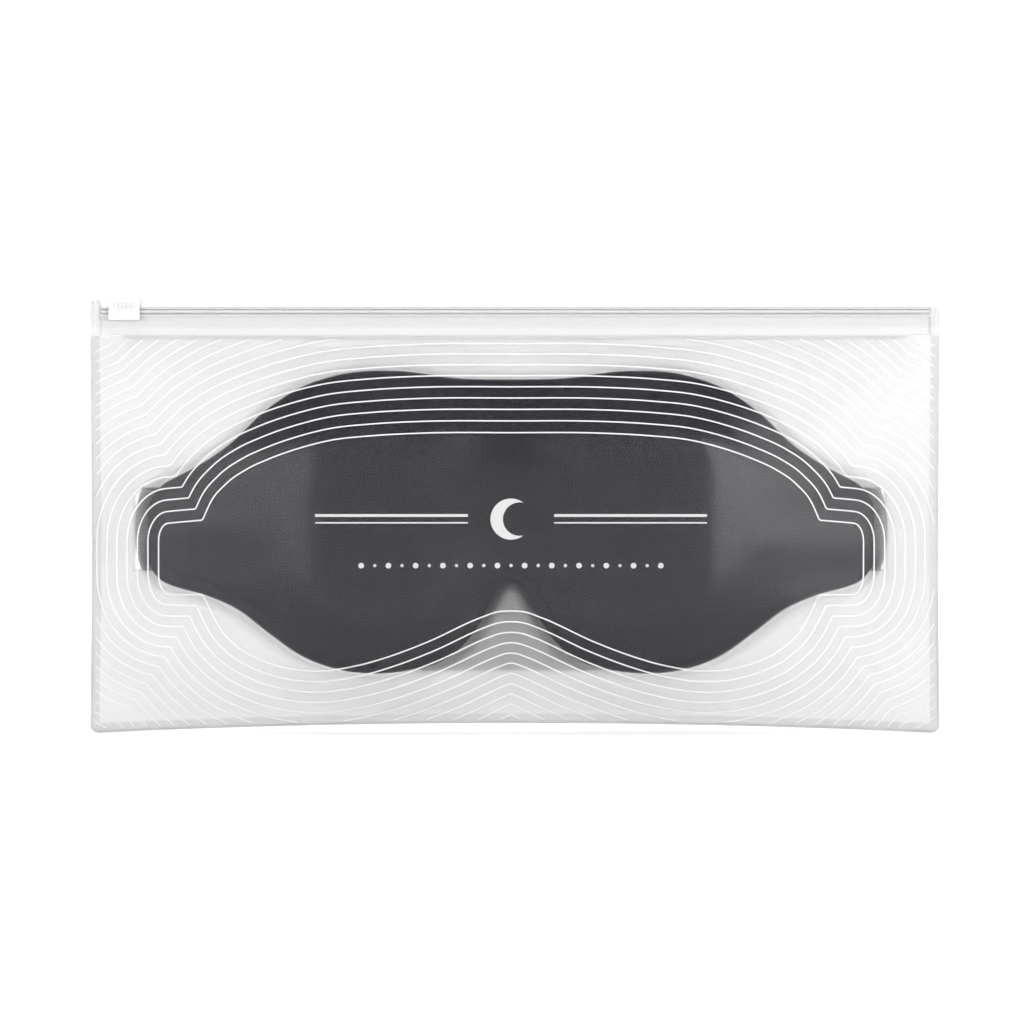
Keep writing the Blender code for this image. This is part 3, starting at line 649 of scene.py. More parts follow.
def mask_grid(cells):
    """X and z of a grid over the mask, with close rows and columns along its edge."""
    x = edge_lines(2 * TAB_END, EDGE_STEPS, cells[0]) - TAB_END
    bottom, top = mask_edges(x)
    steps = np.array(EDGE_STEPS)[:, None] * MM
    share = np.linspace(0, 1, cells[1] + 1)[1:-1, None]
    middle = bottom + steps[-1] + share * (top - bottom - 2 * steps[-1])
    z = np.vstack((bottom + steps, middle, top - steps[::-1]))
    return np.broadcast_to(x, z.shape), z


def build_mask(knit, lining, foam):
    x, z = mask_grid(MASK_CELLS)
    inside = distance_to(OUTLINE, x, z)
    front, back = mask_front(x, z, inside), mask_back(x, z, inside)
    place = (x + MASK_X, z + MASK_Z)
    seam = (RIM_FRONT + RIM_BACK) / 2

    def layer(y):
        return points(place[0], y, place[1])

    under_front = np.minimum(front + FABRIC, seam - LAYER_GAP / 2)
    under_back = np.maximum(back - FABRIC, seam + LAYER_GAP / 2)
    within = inside < SEAM_BAND
    under_front = np.where(within, seam - LAYER_GAP / 2, under_front)
    under_back = np.where(within, seam + LAYER_GAP / 2, under_back)
    sheet("mask_front", layer(front), layer(under_front), knit, "mask", "charcoal_fabric",
          ["mask_front_fabric"])
    sheet("mask_face_lining", layer(back), layer(under_back), lining, "mask", "lining_fabric",
          ["mask_lining"])
    core = (slice(6, -6, 3), slice(6, -6, 3))
    sheet("mask_core", layer(front + FABRIC + 3 * LAYER_GAP)[core],
          layer(back - FABRIC - 3 * LAYER_GAP)[core], foam, "mask", "moulded_foam",
          ["mask_foam_core"])


def build_notch_shade(material):
    """A sheet of painted shade let in behind the rim of the nose notch, with a straight lower edge."""
    trial = np.linspace(0, 40 * MM, 401)
    top = mask_edges(np.zeros(1))[0][0]
    reach = trial[np.argmax(mask_edges(trial)[0] < top - NOTCH_SHADE_DROP)]
    x = np.linspace(-reach, reach, 61)[None, :]
    upper = mask_edges(x)[0] + NOTCH_SHADE_LAP
    share = np.linspace(0, 1, 41)[:, None]
    z = upper + share * (top - NOTCH_SHADE_DROP - upper)
    bow = NOTCH_SHADE_BOW * np.sin(np.pi * share) * (1 - (x / reach) ** 2)
    y = (RIM_FRONT + RIM_BACK) / 2 + bow
    outer = points(x + MASK_X, y, z + MASK_Z)
    inner = points(x + MASK_X, y + NOTCH_SHADE_THICKNESS, z + MASK_Z)
    # the sheet of painted shade rides on the mask
    sheet("mask_notch_shade_sheet", outer, inner, material, "mask", "lining_fabric")


# ---- straps and their hardware

def closing_run(bar, near, far, count):
    """A strap's way from the ring's bar out to its own depth."""
    share = np.linspace(0, 1, count + 1)[1:]
    return np.stack((bar + LOOP_RUN * share, near + (far - near) * smoothstep(share)), 1)


def straight(start, end, depth, step):
    """A strap's level run at one depth, without its first point."""
    count = max(2, int(abs(end - start) / step))
    x = np.linspace(start, end, count + 1)[1:]
    return np.stack((x, np.full(len(x), depth)), 1)


def strap_path(bar, end):
    """Middle line of a strap as (distance from the nose, depth): tab, fold, ring bar, free end."""
    step = 1 * MM
    fold = (FOLD_CENTRE, (SEWN_DEPTH + INNER_DEPTH) / 2)
    outward = straight(SEWN_START - step, FOLD_CENTRE - step / 2, SEWN_DEPTH, step)
    turn = arc(fold, (INNER_DEPTH - SEWN_DEPTH) / 2, -90, 90, 15)
    near = bar + LOOP_RUN
    inward = straight(FOLD_CENTRE, near + step, INNER_DEPTH, step)
    dip = closing_run(bar, RING_DEPTH - LOOP_RADIUS, INNER_DEPTH, 10)[::-1]
    loop = arc((bar, RING_DEPTH), LOOP_RADIUS, 270, 90, 17)
    rise = closing_run(bar, RING_DEPTH + LOOP_RADIUS, OUTER_DEPTH, 10)
    return np.concatenate((outward, turn, inward, dip, loop, rise,
                           straight(near, end, OUTER_DEPTH, step)))


def build_strap(name, side, bar, end, webbing, node):
    """An elastic strap with slightly thinner selvedges that bows a little at its fold."""
    path = strap_path(bar, end)
    normal = sideways(path)
    across = np.sin(np.radians(np.linspace(-90, 90, 25)))[:, None]
    nearness = smoothstep(1 - np.abs(FOLD_CENTRE - path[:, 0]) / FOLD_FADE)
    draw_in = FOLD_BOW * across**2 * nearness
    half = STRAP_THICKNESS / 2 * (1 - 0.35 * np.abs(across) ** 6)
    along = run_along(path)
    sway = 0.05 * MM * np.sin(along / (7 * MM)) * np.cos(across * 2.0)
    width = STRAP_HALF_WIDTH + 0.12 * MM * np.sin(along / (9 * MM) + 0.7) * np.sign(across)
    faces = []
    for way in (1, -1):
        x = side * (path[:, 0] + way * half * normal[:, 0] - draw_in) + MASK_X
        y = path[:, 1] + way * half * normal[:, 1] + sway
        faces.append(points(x, y, STRAP_LEVEL + width * across))
    sheet(name, *faces, webbing, "mask", "elastic_webbing", [node])


def build_ring(plastic):
    """A rectangular ring with round corners, bent from one round wire."""
    half = np.array((RING_BAR_OFFSET, RING_HALF_HEIGHT)) - RING_CORNER
    corners = [arc(half * way, RING_CORNER, start, start + 90, 9)
               for way, start in (((1, 1), 0), ((-1, 1), 90), ((-1, -1), 180), ((1, -1), 270))]
    path = np.concatenate(corners) + (RING_X + MASK_X, STRAP_LEVEL)
    path = points(path[:, 0], RING_DEPTH, path[:, 1])
    wire = tube_parts(path, RING_BAR_RADIUS, closed=True, sides=16)
    piece("strap_ring_moulded", *wire, plastic, "mask", "black_plastic", ["strap_ring"])


def rounded_bar(low, high, radius):
    """A box with rounded edges, as a bmesh."""
    bm = bmesh.new()
    bmesh.ops.create_cube(bm, size=1.0)
    for vert in bm.verts:
        vert.co = [lo + (hi - lo) * (part + 0.5) for lo, hi, part in zip(low, high, vert.co)]
    bmesh.ops.bevel(bm, geom=bm.edges[:], offset=radius, segments=3, affect="EDGES", profile=0.5)
    return bm


def guide(name, bm):
    """An object with the shape of a bmesh, which is freed."""
    mesh = bpy.data.meshes.new(name)
    bm.to_mesh(mesh)
    bm.free()
    return linked(name, mesh)


def united(parts):
    """Boolean union of bmeshes, as one mesh."""
    first, *others = [guide(f"part_{k}", part) for k, part in enumerate(parts)]
    for other in others:
        join = first.modifiers.new(other.name, "BOOLEAN")
        join.operation = "UNION"
        join.solver = "EXACT"
        join.object = other
    depsgraph = bpy.context.evaluated_depsgraph_get()
    mesh = bpy.data.meshes.new_from_object(first.evaluated_get(depsgraph))
    for item in (first, *others):
        bpy.data.objects.remove(item, do_unlink=True)
    return mesh


def build_strap_slider(plastic):
    """The three-bar slide: rails, two outer bars and the bar inside the straps."""
    low, high = slide_low, slide_high
    rail, end_bar, outer, inner, half = 1.6 * MM, 1.6 * MM, 0.9 * MM, 1.1 * MM, 1.1 * MM
    middle = (low[0] + high[0]) / 2
    inset = 0.4 * MM
    parts = [rounded_bar(low, (high[0], high[1], low[2] + rail), 0.5 * MM),
             rounded_bar((low[0], low[1], high[2] - rail), high, 0.5 * MM)]
    for start in (low[0] + 0.05 * MM, high[0] - end_bar - 0.05 * MM):
        parts.append(rounded_bar((start, high[1] - outer - 0.03 * MM, low[2] + inset),
                                 (start + end_bar, high[1] - 0.03 * MM, high[2] - inset), 0.4 * MM))
    parts.append(rounded_bar((middle - half, low[1] + 0.03 * MM, low[2] + inset),
                             (middle + half, low[1] + inner, high[2] - inset), 0.45 * MM))
    finish_piece("strap_slide_moulded", united(parts), plastic, "strap_slider",
                 ["strap_slider"])


def stitch_run(start, end, depth, length=STITCH_LENGTH):
    """Single stitches along a line from start to end, each arching out of the strap."""
    start, end = np.array(start), np.array(end)
    count = max(1, round(np.linalg.norm(end - start) / length))
    stitches = []
    for k in range(count):
        share = (k + np.linspace(0.06, 0.94, 7)) / count
        flat = start + (end - start) * share[:, None]
        arch = STITCH_ARCH * np.sin(np.linspace(0, math.pi, 7)) - STITCH_SINK
        stitches.append(capsule(points(flat[:, 0], depth + arch, flat[:, 1]), 0.22 * MM))
    return stitches


def build_stitching(thread):
    """Box-and-cross stitching on both tabs and a bar tack behind the ring."""
    half_x, half_z = STITCH_HALF
    depth = SEWN_DEPTH + STRAP_THICKNESS / 2
    z = STRAP_LEVEL
    for name, side in (("left", -1), ("right", 1)):
        x = MASK_X + side * STITCH_CENTRE
        corners = [(x - half_x, z - half_z), (x + half_x, z - half_z),
                   (x + half_x, z + half_z), (x - half_x, z + half_z)]
        runs = list(zip(corners, corners[1:] + corners[:1]))
        runs += [(corners[0], corners[2]), (corners[1], corners[3])]
        stitches = [stitch for a, b in runs for stitch in stitch_run(a, b, depth)]
        piece(f"tab_box_stitch_{name}", *many(stitches), thread, "mask", "thread",
              [f"tab_stitch_{name}"])
    x = (tack_low[0] + tack_high[0]) / 2
    top = OUTER_DEPTH + STRAP_THICKNESS / 2
    bars = []
    for k in range(TACK_STITCHES):
        height = z + (k - (TACK_STITCHES - 1) / 2) * TACK_PITCH
        lean = 0.25 * MM * (-1) ** k
        bars += stitch_run((x - 0.9 * MM, height - lean), (x + 0.9 * MM, height + lean), top, 2 * MM)
    piece("loop_bar_tack", *many(bars), thread, "mask", "thread", ["loop_bartack"])


# ---- films

def bottom_edge(across):
    """Height of the pouch's bottom edge, which bows up between its corners."""
    inside_weld = across / (1 - WELD_WIDTH / POUCH_HALF_WIDTH)
    return BOTTOM_BOW * np.maximum(1 - inside_weld**2, 0)


def half_width(up):
    """Half the pouch's width at a share of its height: the load pulls its sides in."""
    return POUCH_HALF_WIDTH - SIDE_PULL * np.sin(np.pi * up)


def film_plan(across, up):
    """X and z of film points from shares: across from -1 to 1, up from 0 to 1."""
    x = across * half_width(up)
    bottom = bottom_edge(across)
    z = bottom + up * (FILM_TOP - bottom)
    from_side = POUCH_HALF_WIDTH - np.abs(x)
    from_bottom = z - bottom
    u = np.clip(1 - from_side / WELD_CORNER, 0, 1)
    v = np.clip(1 - from_bottom / WELD_CORNER, 0, 1)
    x = x - np.sign(x) * WELD_CORNER * u * (1 - np.sqrt(1 - v**2 / 2))
    z = z + WELD_CORNER * v * (1 - np.sqrt(1 - u**2 / 2))
    return x, z


def film_shares(x, z):
    """The shares of points on the film, the other way round from film_plan."""
    up = z / FILM_TOP
    for _ in range(4):
        across = x / half_width(np.clip(up, 0, 1))
        bottom = bottom_edge(across)
        up = (z - bottom) / (FILM_TOP - bottom)
    return across, up


def bilinear(grid_x, grid_y, values, x, y):
    """Values of a grid (rows along y) at points, straight between its lines."""
    i = np.clip(np.searchsorted(grid_x, x) - 1, 0, len(grid_x) - 2)
    j = np.clip(np.searchsorted(grid_y, y) - 1, 0, len(grid_y) - 2)
    fx = np.clip((x - grid_x[i]) / (grid_x[i + 1] - grid_x[i]), 0, 1)
    fy = np.clip((y - grid_y[j]) / (grid_y[j + 1] - grid_y[j]), 0, 1)
    low = values[j, i] * (1 - fx) + values[j, i + 1] * fx
    high = values[j + 1, i] * (1 - fx) + values[j + 1, i + 1] * fx
    return low * (1 - fy) + high * fy


def in_mask(x, z, margin):
    """Whether places from the mask's centre are on it or within a margin of it."""
    bottom, top = mask_edges(x)
    return (np.abs(x) < TAB_END + margin) & (z > bottom - margin) & (z < top + margin)


def near_mask(x, z):
    """Places from the mask's centre, their distance to its outline and which are on it."""
    x, z = x - MASK_X, z - MASK_Z
    return x, z, distance_to(OUTLINE, x, z), in_mask(x, z, 0)


def front_gap(x, z, height):
    """How far the front film stands off the load, and how far it is beside the load."""
    x, z, edge, inside = near_mask(x, z)
    off = height + np.where(inside, mask_front(x, z, edge), RIM_FRONT)
    return off, np.where(inside, 0.0, edge)


def front_hold(x, z):
    """How far out the domes hold the front film."""
    x, z, edge, inside = near_mask(x, z)
    return np.where(inside, FRONT_CLEARANCE - mask_front(x, z, edge), 0.0)


def strap_depth(x, z):
    """Depth of the back of the straps and the slide behind the mask, or 0 beside them."""
    x, height = x - MASK_X, np.abs(z - STRAP_LEVEL)
    left_bar, right_bar = RING_X - RING_BAR_OFFSET, RING_X + RING_BAR_OFFSET
    single = (np.abs(x) < FOLD_CENTRE + 1 * MM) & (height < STRAP_HALF_WIDTH)
    doubled = (x > -LEFT_STRAP_END) & (x < left_bar) | (x > right_bar) & (x < RIGHT_STRAP_END)
    depth = np.where(single, INNER_DEPTH + STRAP_THICKNESS / 2, 0.0)
    depth = np.where(single & doubled, OUTER_DEPTH + STRAP_THICKNESS / 2, depth)
    slide = (x > slide_low[0] - MASK_X - SLIDE_ROOM) & (x < slide_high[0] - MASK_X + SLIDE_ROOM)
    return np.where(slide & (height < slide_high[2] - STRAP_LEVEL), slide_high[1], depth)


def back_gap(x, z, height):
    """The same for the back film, which rests on the straps too."""
    straps = strap_depth(x, z)
    x, z, edge, inside = near_mask(x, z)
    off = height - np.maximum(np.where(inside, mask_back(x, z, edge), 0.0), straps)
    return off, np.where(inside | (straps > 0), 0.12 * off, edge + 2 * MM)


def back_hold(x, z):
    """How far out the rim, the straps and the slide hold the back film."""
    rim = np.where(in_mask(x - MASK_X, z - MASK_Z, 1 * MM), RIM_BACK, 0.0)
    straps = strap_depth(x, z)
    held = np.maximum(rim, straps) + BACK_CLEARANCE
    rest = FILM_BACK - FILM_THICKNESS - 0.02 * MM
    held = np.where(held > BACK_CLEARANCE, held, 0.0)
    return np.where(straps > OUTER_DEPTH + STRAP_THICKNESS, rest, held)


def neighbours_mean(height):
    return (height[:-2, 1:-1] + height[2:, 1:-1] + height[1:-1, :-2] + height[1:-1, 2:]) / 4


def settle(hold):
    """Height of a film pulled tight over what holds it, worked out on finer and finer grids."""
    height = None
    for cells_x, cells_z, rounds in DRAPE_LEVELS:
        across = np.linspace(-1, 1, cells_x + 1)
        up = np.linspace(0, 1, cells_z + 1)
        x, z = film_plan(*np.meshgrid(across, up))
        held = hold(x, z)
        weld = np.clip((POUCH_HALF_WIDTH - np.abs(x)) / WELD_WIDTH, 0, None)
        flange = WELD_OFFSET + (FLANGE_OFFSET - WELD_OFFSET) * smoothstep((weld - 0.6) / 1.6)
        pinned = (weld < 1) | (z - bottom_edge(x / POUCH_HALF_WIDTH) < WELD_WIDTH)
        pinned_top = FILM_TOP - z < WELD_WIDTH
        fixed = np.where(pinned_top, flange, WELD_OFFSET)
        pinned |= pinned_top
        if height is None:
            height = np.maximum(held, WELD_OFFSET)
        else:
            height = bilinear(*coarse, height, *np.meshgrid(across, up))
        height = np.where(pinned, fixed, np.maximum(height, held))
        for _ in range(rounds):
            height[1:-1, 1:-1] = np.where(pinned[1:-1, 1:-1], fixed[1:-1, 1:-1],
                                          np.maximum(neighbours_mean(height), held[1:-1, 1:-1]))
        coarse = (across, up)
    for _ in range(SOFTENING):
        height[1:-1, 1:-1] = np.where(pinned[1:-1, 1:-1], height[1:-1, 1:-1], neighbours_mean(height))
    height = np.maximum(height, held - SOFTENING_DIP)
    slack = smoothstep((height - held) / (1.2 * MM)) * ~pinned
    return across, up, height, slack


def folds(x, z, seed):
    """Slack folds: fans out of the four corners, puckers at the seams and a slow sway."""
    random = np.random.default_rng(seed)
    total = np.zeros_like(x)
    for side in (-1, 1):
        for corner_z, aim in ((FILM_TOP - 4 * MM, -1), (4 * MM, 1)):
            dx = side * x - (POUCH_HALF_WIDTH - 5 * MM)
            dz = (z - corner_z) * aim
            reach = np.hypot(dx, dz)
            turn = np.arctan2(dz, -dx)
            count, phase = random.uniform(15, 21), random.uniform(0, math.tau)
            fan = np.cos(count * turn + phase + 0.8 * np.sin(reach / (14 * MM)))
            grown, gone, fading = FAN_RANGE
            window = smoothstep(reach / grown) * smoothstep((gone - reach) / fading)
            total += FAN_HEIGHT * fan * window
    for base, away in ((FILM_TOP - WELD_WIDTH, -1), (WELD_WIDTH, 1)):
        height = np.maximum((z - base) * away, 0)
        phase = random.uniform(0, math.tau, 3)
        ripple = np.cos(x / RIPPLE_PITCH + 2.5 * np.sin(x / (23 * MM) + phase[0]))
        swell = 0.55 + 0.45 * np.sin(x / (17 * MM) + phase[1])
        fade = np.exp(-height / (6 * MM)) * smoothstep(height / (2 * MM))
        total += RIPPLE_HEIGHT * ripple * swell * fade
    for length, size in SWAYS:
        lean, phase = random.uniform(0, math.tau, 2), random.uniform(0, math.tau, 2)
        a = (x * math.cos(lean[0]) + z * math.sin(lean[0])) / length
        b = (x * math.cos(lean[1]) + z * math.sin(lean[1])) / length
        total += size * np.sin(a * math.tau / 2 + phase[0]) * np.sin(b * math.tau / 2 + phase[1])
    return total


def edge_distance(x, z):
    """Distance from the pouch's side and bottom edges."""
    side = half_width(np.clip(z / FILM_TOP, 0, 1)) - np.abs(x)
    return side, z - bottom_edge(x / POUCH_HALF_WIDTH)


class Film:
    """One film of the pouch: its shape, and where its outer face is at any point."""

    def __init__(self, side, hold, gap, seed, limit):
        self.side = side
        across, up, height, slack = settle(hold)
        width = 2 * POUCH_HALF_WIDTH
        self.across = edge_lines(width, FILM_EDGE_STEPS, FILM_CELLS[0]) * 2 / width - 1
        self.up = edge_lines(FILM_TOP, FILM_EDGE_STEPS, FILM_CELLS[1]) / FILM_TOP
        grid = np.meshgrid(self.across, self.up)
        self.x, self.z = film_plan(*grid)
        height = bilinear(across, up, height, *grid)
        slack = bilinear(across, up, slack, *grid)
        height = height + slack * folds(self.x, self.z, seed)
        self.edge = np.minimum(*edge_distance(self.x, self.z))
        weld_line = 0.10 * MM * np.exp(-(((self.edge - WELD_WIDTH) / (0.5 * MM)) ** 2))
        room = (limit - FILM_THICKNESS - height) / LIMIT_ROUNDING
        height = limit - FILM_THICKNESS - LIMIT_ROUNDING * np.log1p(np.exp(room))
        self.height = np.maximum(height, WELD_OFFSET) + weld_line
        off, beside = gap(self.x, self.z, self.height)
        self.standing_off = smoothstep((off - STANDING_OFF[0]) / (STANDING_OFF[1] - STANDING_OFF[0]))
        self.beside = smoothstep((beside - BESIDE[0]) / (BESIDE[1] - BESIDE[0]))
        self.welded = smoothstep((WELD_WIDTH - self.edge) / (0.6 * MM))

    def outer(self, x, z):
        """Y of the film's outer face at points."""
        height = bilinear(self.across, self.up, self.height, *film_shares(x, z))
        return self.side * (height + FILM_THICKNESS)

    def build(self, name, material, node):
        outer = points(self.x, self.side * (self.height + FILM_THICKNESS), self.z)
        inner = points(self.x, self.side * self.height, self.z)
        item = sheet(name, outer, inner, material, "pouch", "frosted_film", [node])
        for label, values in (("standing_off", self.standing_off), ("beside", self.beside),
                              ("welded", self.welded)):
            layer = item.data.attributes.new(label, "FLOAT", "POINT")
            layer.data.foreach_set("value", np.tile(values.ravel(), 2))
        flatten(item)


def flatten(item):
    """Gives the item its own copy of its mesh; nothing here makes the pouch any flatter."""
    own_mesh(item)


def build_weld_bead(material):
    """The thin bead of melted film along the sides and the bottom."""
    inset = 0.2 * MM
    up = np.linspace(1, 0, 60)
    sides = half_width(up) - inset
    corner = arc((POUCH_HALF_WIDTH - WELD_CORNER, WELD_CORNER), WELD_CORNER - inset, 0, -90, 9)
    z = up * FILM_TOP
    keep = z > WELD_CORNER + 1 * MM
    right = np.concatenate((np.stack((sides, z), 1)[keep], corner))
    reach = POUCH_HALF_WIDTH - WELD_CORNER - 1 * MM
    x = np.linspace(reach, -reach, 120)
    bottom = np.stack((x, bottom_edge(x / POUCH_HALF_WIDTH) + inset), 1)
    left = right[::-1] * (-1, 1)
    path = np.concatenate((right, bottom, left))
    bead = capsule(points(path[:, 0], 0.0, path[:, 1]), 0.36 * MM)
    piece("weld_bead", *bead, material, "pouch", "frosted_film")


# ---- print

def print_outline():
    """The innermost printed line: a mask with square-stepped tabs, as (x, z) points."""
    x = np.linspace(0, PRINT_TOP[-1][0], 240)
    top = np.stack((x, smooth_line(PRINT_TOP, x * MM) / MM), 1)
    x = np.linspace(PRINT_BOTTOM[-1][0], 0, 280)
    bottom = np.stack((x, smooth_line(PRINT_BOTTOM, x * MM) / MM), 1)
    upper, lower = PRINT_TAB_CORNERS
    tab_bottom = PRINT_BOTTOM[-1][1]
    tab = np.concatenate((
        arc((PRINT_TAB_END - upper[0], PRINT_TAB_TOP - upper[1]), upper, 90, 0, 16),
        arc((PRINT_TAB_END - lower[0], tab_bottom + lower[1]), lower, 0, -90, 16)))
    right = np.concatenate((top, tab, bottom))[1:-1] * MM
    left = right[::-1] * (-1, 1)
    return even(np.concatenate((top[:1] * MM, right, bottom[-1:] * MM, left, top[:1] * MM)),
                PRINT_STEP)[:-1]


def echo(base, offset):
    """The closed outline moved outwards by an offset, rounded at its outer corners."""
    run = np.roll(base, -1, axis=0) - base
    run /= np.linalg.norm(run, axis=1)[:, None]
    heading = np.unwrap(np.arctan2(run[:, 1], run[:, 0]))
    before = np.roll(heading, 1)
    before[0] -= math.tau * round((before[0] - heading[0]) / math.tau)
    moved = []
    for point, first, last in zip(base, before, heading):
        count = 1 + int(max(first - last, 0) * offset / PRINT_STEP)
        turn = np.linspace(first, last, count + 1) + math.pi / 2
        moved.append(point + offset * np.stack((np.cos(turn), np.sin(turn)), 1))
    moved = np.concatenate(moved)
    return moved[distance_to(base, moved[:, 0], moved[:, 1]) > offset - 0.001 * MM]


def ink_patch(grid, film):
    """Verts and quads of a thin patch of ink on the film over a grid of (x, z) points."""
    x, z = grid[..., 0], grid[..., 1]
    face = film.outer(x.ravel(), z.ravel()).reshape(x.shape)
    layers = [points(x, face + film.side * lift, z).reshape(-1, 3) for lift in PRINT_LIFTS]
    return np.concatenate(layers), sheet_faces(*x.shape)


def ribbon(path, film, reach=PRINT_HALF_WIDTH):
    """A printed line along a path of (x, z) points."""
    side = sideways(path) * reach
    return ink_patch(np.stack((path + side, path - side)), film)


def runs_inside(path, inside):
    """The stretches of a closed path that lie inside the print's area."""
    if inside.all():
        return [np.concatenate((path, path[:1]))]
    start = int(np.argmin(inside))
    path, inside = np.roll(path, -start, 0), np.roll(inside, -start)
    edges = np.flatnonzero(np.diff(np.append(inside, False).astype(int)))
    pieces = [path[a + 1:b + 1] for a, b in zip(edges[::2], edges[1::2])]
    return [p for p in pieces if len(p) > 3]


def in_print_area(line):
    """Whether points lie between the welds and under the flange."""
    side, bottom = edge_distance(line[:, 0], line[:, 1])
    corner = np.hypot(np.minimum(side - 4 * MM, 0), np.minimum(bottom - 4 * MM, 0)) < 3 * MM
    return (side > 1.2 * MM) & (bottom > 1.0 * MM) & corner & (line[:, 1] < FILM_TOP - 1.0 * MM)


def build_print(film, ink):
    """White lines that echo the mask's outline over the front film."""
    stretch = np.array((1, PRINT_UP_STRETCH))
    base = print_outline()
    base = np.where(base[:, 1:] > 0, base / stretch, base)
    parts = []
    for k in range(PRINT_LINES):
        offset = PRINT_PITCH * k * (1 - PRINT_SHRINK * k)
        line = base if k == 0 else echo(base, offset)
        line = np.where(line[:, 1:] > 0, line * stretch, line) + (MASK_X, MASK_Z)
        for run in runs_inside(line, in_print_area(line)):
            parts.append(ribbon(even(run, 1.5 * PRINT_STEP), film))
    flatten(piece("print_echo_lines", *many(parts), ink, "pouch", "slider_plastic"))


def filled_shape(left, right, film, step=0.5 * MM):
    """A small printed shape given by matching left and right edges."""
    share = np.linspace(0, 1, max(3, int(np.abs(right - left).max() / step)))[:, None, None]
    return ink_patch(left[None] * (1 - share) + right[None] * share, film)


def build_motif(film, ink):
    """A plain crescent between two rules, with a row of dots below: a generic night motif."""
    centre = np.array((MASK_X, MASK_Z + 1.0 * MM))
    outer = arc(centre, 6.2 * MM, 52, 308, 60)
    hub = centre + (2.6 * MM, 0)
    tip = outer[0] - hub
    lean = math.degrees(math.atan2(tip[1], tip[0]))
    inner = arc(hub, np.linalg.norm(tip), lean, 360 - lean, 60)
    parts = [filled_shape(outer, inner, film)]
    for side in (-1, 1):
        start, end = centre[0] + side * 13 * MM, centre[0] + side * 59 * MM
        for lift, width in ((1.1 * MM, 0.42 * MM), (-1.1 * MM, 0.22 * MM)):
            x = np.linspace(start, end, 60)
            parts.append(ribbon(np.stack((x, np.full(60, centre[1] + lift)), 1), film, width))
    for k in range(-11, 12):
        spot = centre + (k * 4.1 * MM, -14 * MM)
        half = arc((0, 0), (0.85 if k % 2 else 0.5) * MM, 90, 270, 13)
        half[0, 0] = half[-1, 0] = -0.02 * MM
        parts.append(filled_shape(spot + half, spot + half * (-1, 1), film, 0.3 * MM))
    flatten(piece("print_night_motif", *many(parts), ink, "pouch", "slider_plastic"))


# ---- zip

def build_track(side, node, name, material):
    """Half of the track: a flange, three rounded ridges and ends crushed in the side welds."""
    reach = POUCH_HALF_WIDTH - 0.15 * MM
    x = edge_lines(2 * reach, (0, 0.25, 0.6, 1.2, 1.8, 2.4, 2.8, 3.2), 300) - reach
    share = np.linspace(0, 1, 57)[:, None]
    raised = smoothstep((-x - (POUCH_HALF_WIDTH - 3.2 * MM)) / (0.5 * MM))
    high = TRACK_TOP + raised * (track_high[2] - TRACK_TOP)
    corner = np.clip((np.abs(x) - (reach - TRACK_CORNER)) / TRACK_CORNER, 0, 1)
    drop = TRACK_CORNER * (1 - np.sqrt(1 - corner**2 * 0.98))
    high = high - drop * np.where(x > 0, 1.0, 0.5)
    tongue = smoothstep((TONGUE[0] - np.abs(x)) / (3 * MM)) * TONGUE[1]
    low = FILM_TOP + 0.3 * MM - tongue
    z = low + share * (high - low)
    ridge = np.zeros_like(z)
    for centre, width, height in TRACK_RIDGES:
        bulge = np.sqrt(np.clip(1 - ((z / MM - centre) / width) ** 2, 0, 1))
        ridge = np.maximum(ridge, height * MM * bulge)
    body = smoothstep((z - TRACK_BODY[0]) / (0.3 * MM)) * TRACK_BODY[1]
    out = TRACK_FLANGE + body + ridge
    end = smoothstep((np.abs(x) - (POUCH_HALF_WIDTH - CRUSHED_END)) / (0.5 * MM))
    flutes = CRUSHED_DEPTH + FLUTES[0] * np.cos(np.pi * x / FLUTES[1])
    out = out * (1 - end) + end * flutes
    rounding = smoothstep((high - z) / (0.35 * MM)) * 0.5 + 0.5
    least = TRACK_BACK + 0.02 * MM
    out = least + (out - least) * rounding
    outer = points(x, side * out, z)
    inner = points(x, side * TRACK_BACK, z)
    sheet(name, outer, inner, material, "pouch", "zip_plastic", [node])


def build_weld_marks(material):
    """The small dents that the sealing bar leaves down both side welds."""
    dents = []
    for side in (-1, 1):
        for z in np.arange(8 * MM, FILM_TOP - 2 * MM, 3.5 * MM):
            x = side * (half_width(z / FILM_TOP) - 0.95 * MM)
            share = np.linspace(-1, 1, 7)
            y = -(WELD_OFFSET + FILM_THICKNESS) + 0 * share
            path = points(x - side * 0.2 * MM * share, y, z + 0.55 * MM * share)
            dents.append(capsule(path, 0.17 * MM, 6))
    flatten(piece("weld_marks", *many(dents), material, "pouch", "frosted_film"))


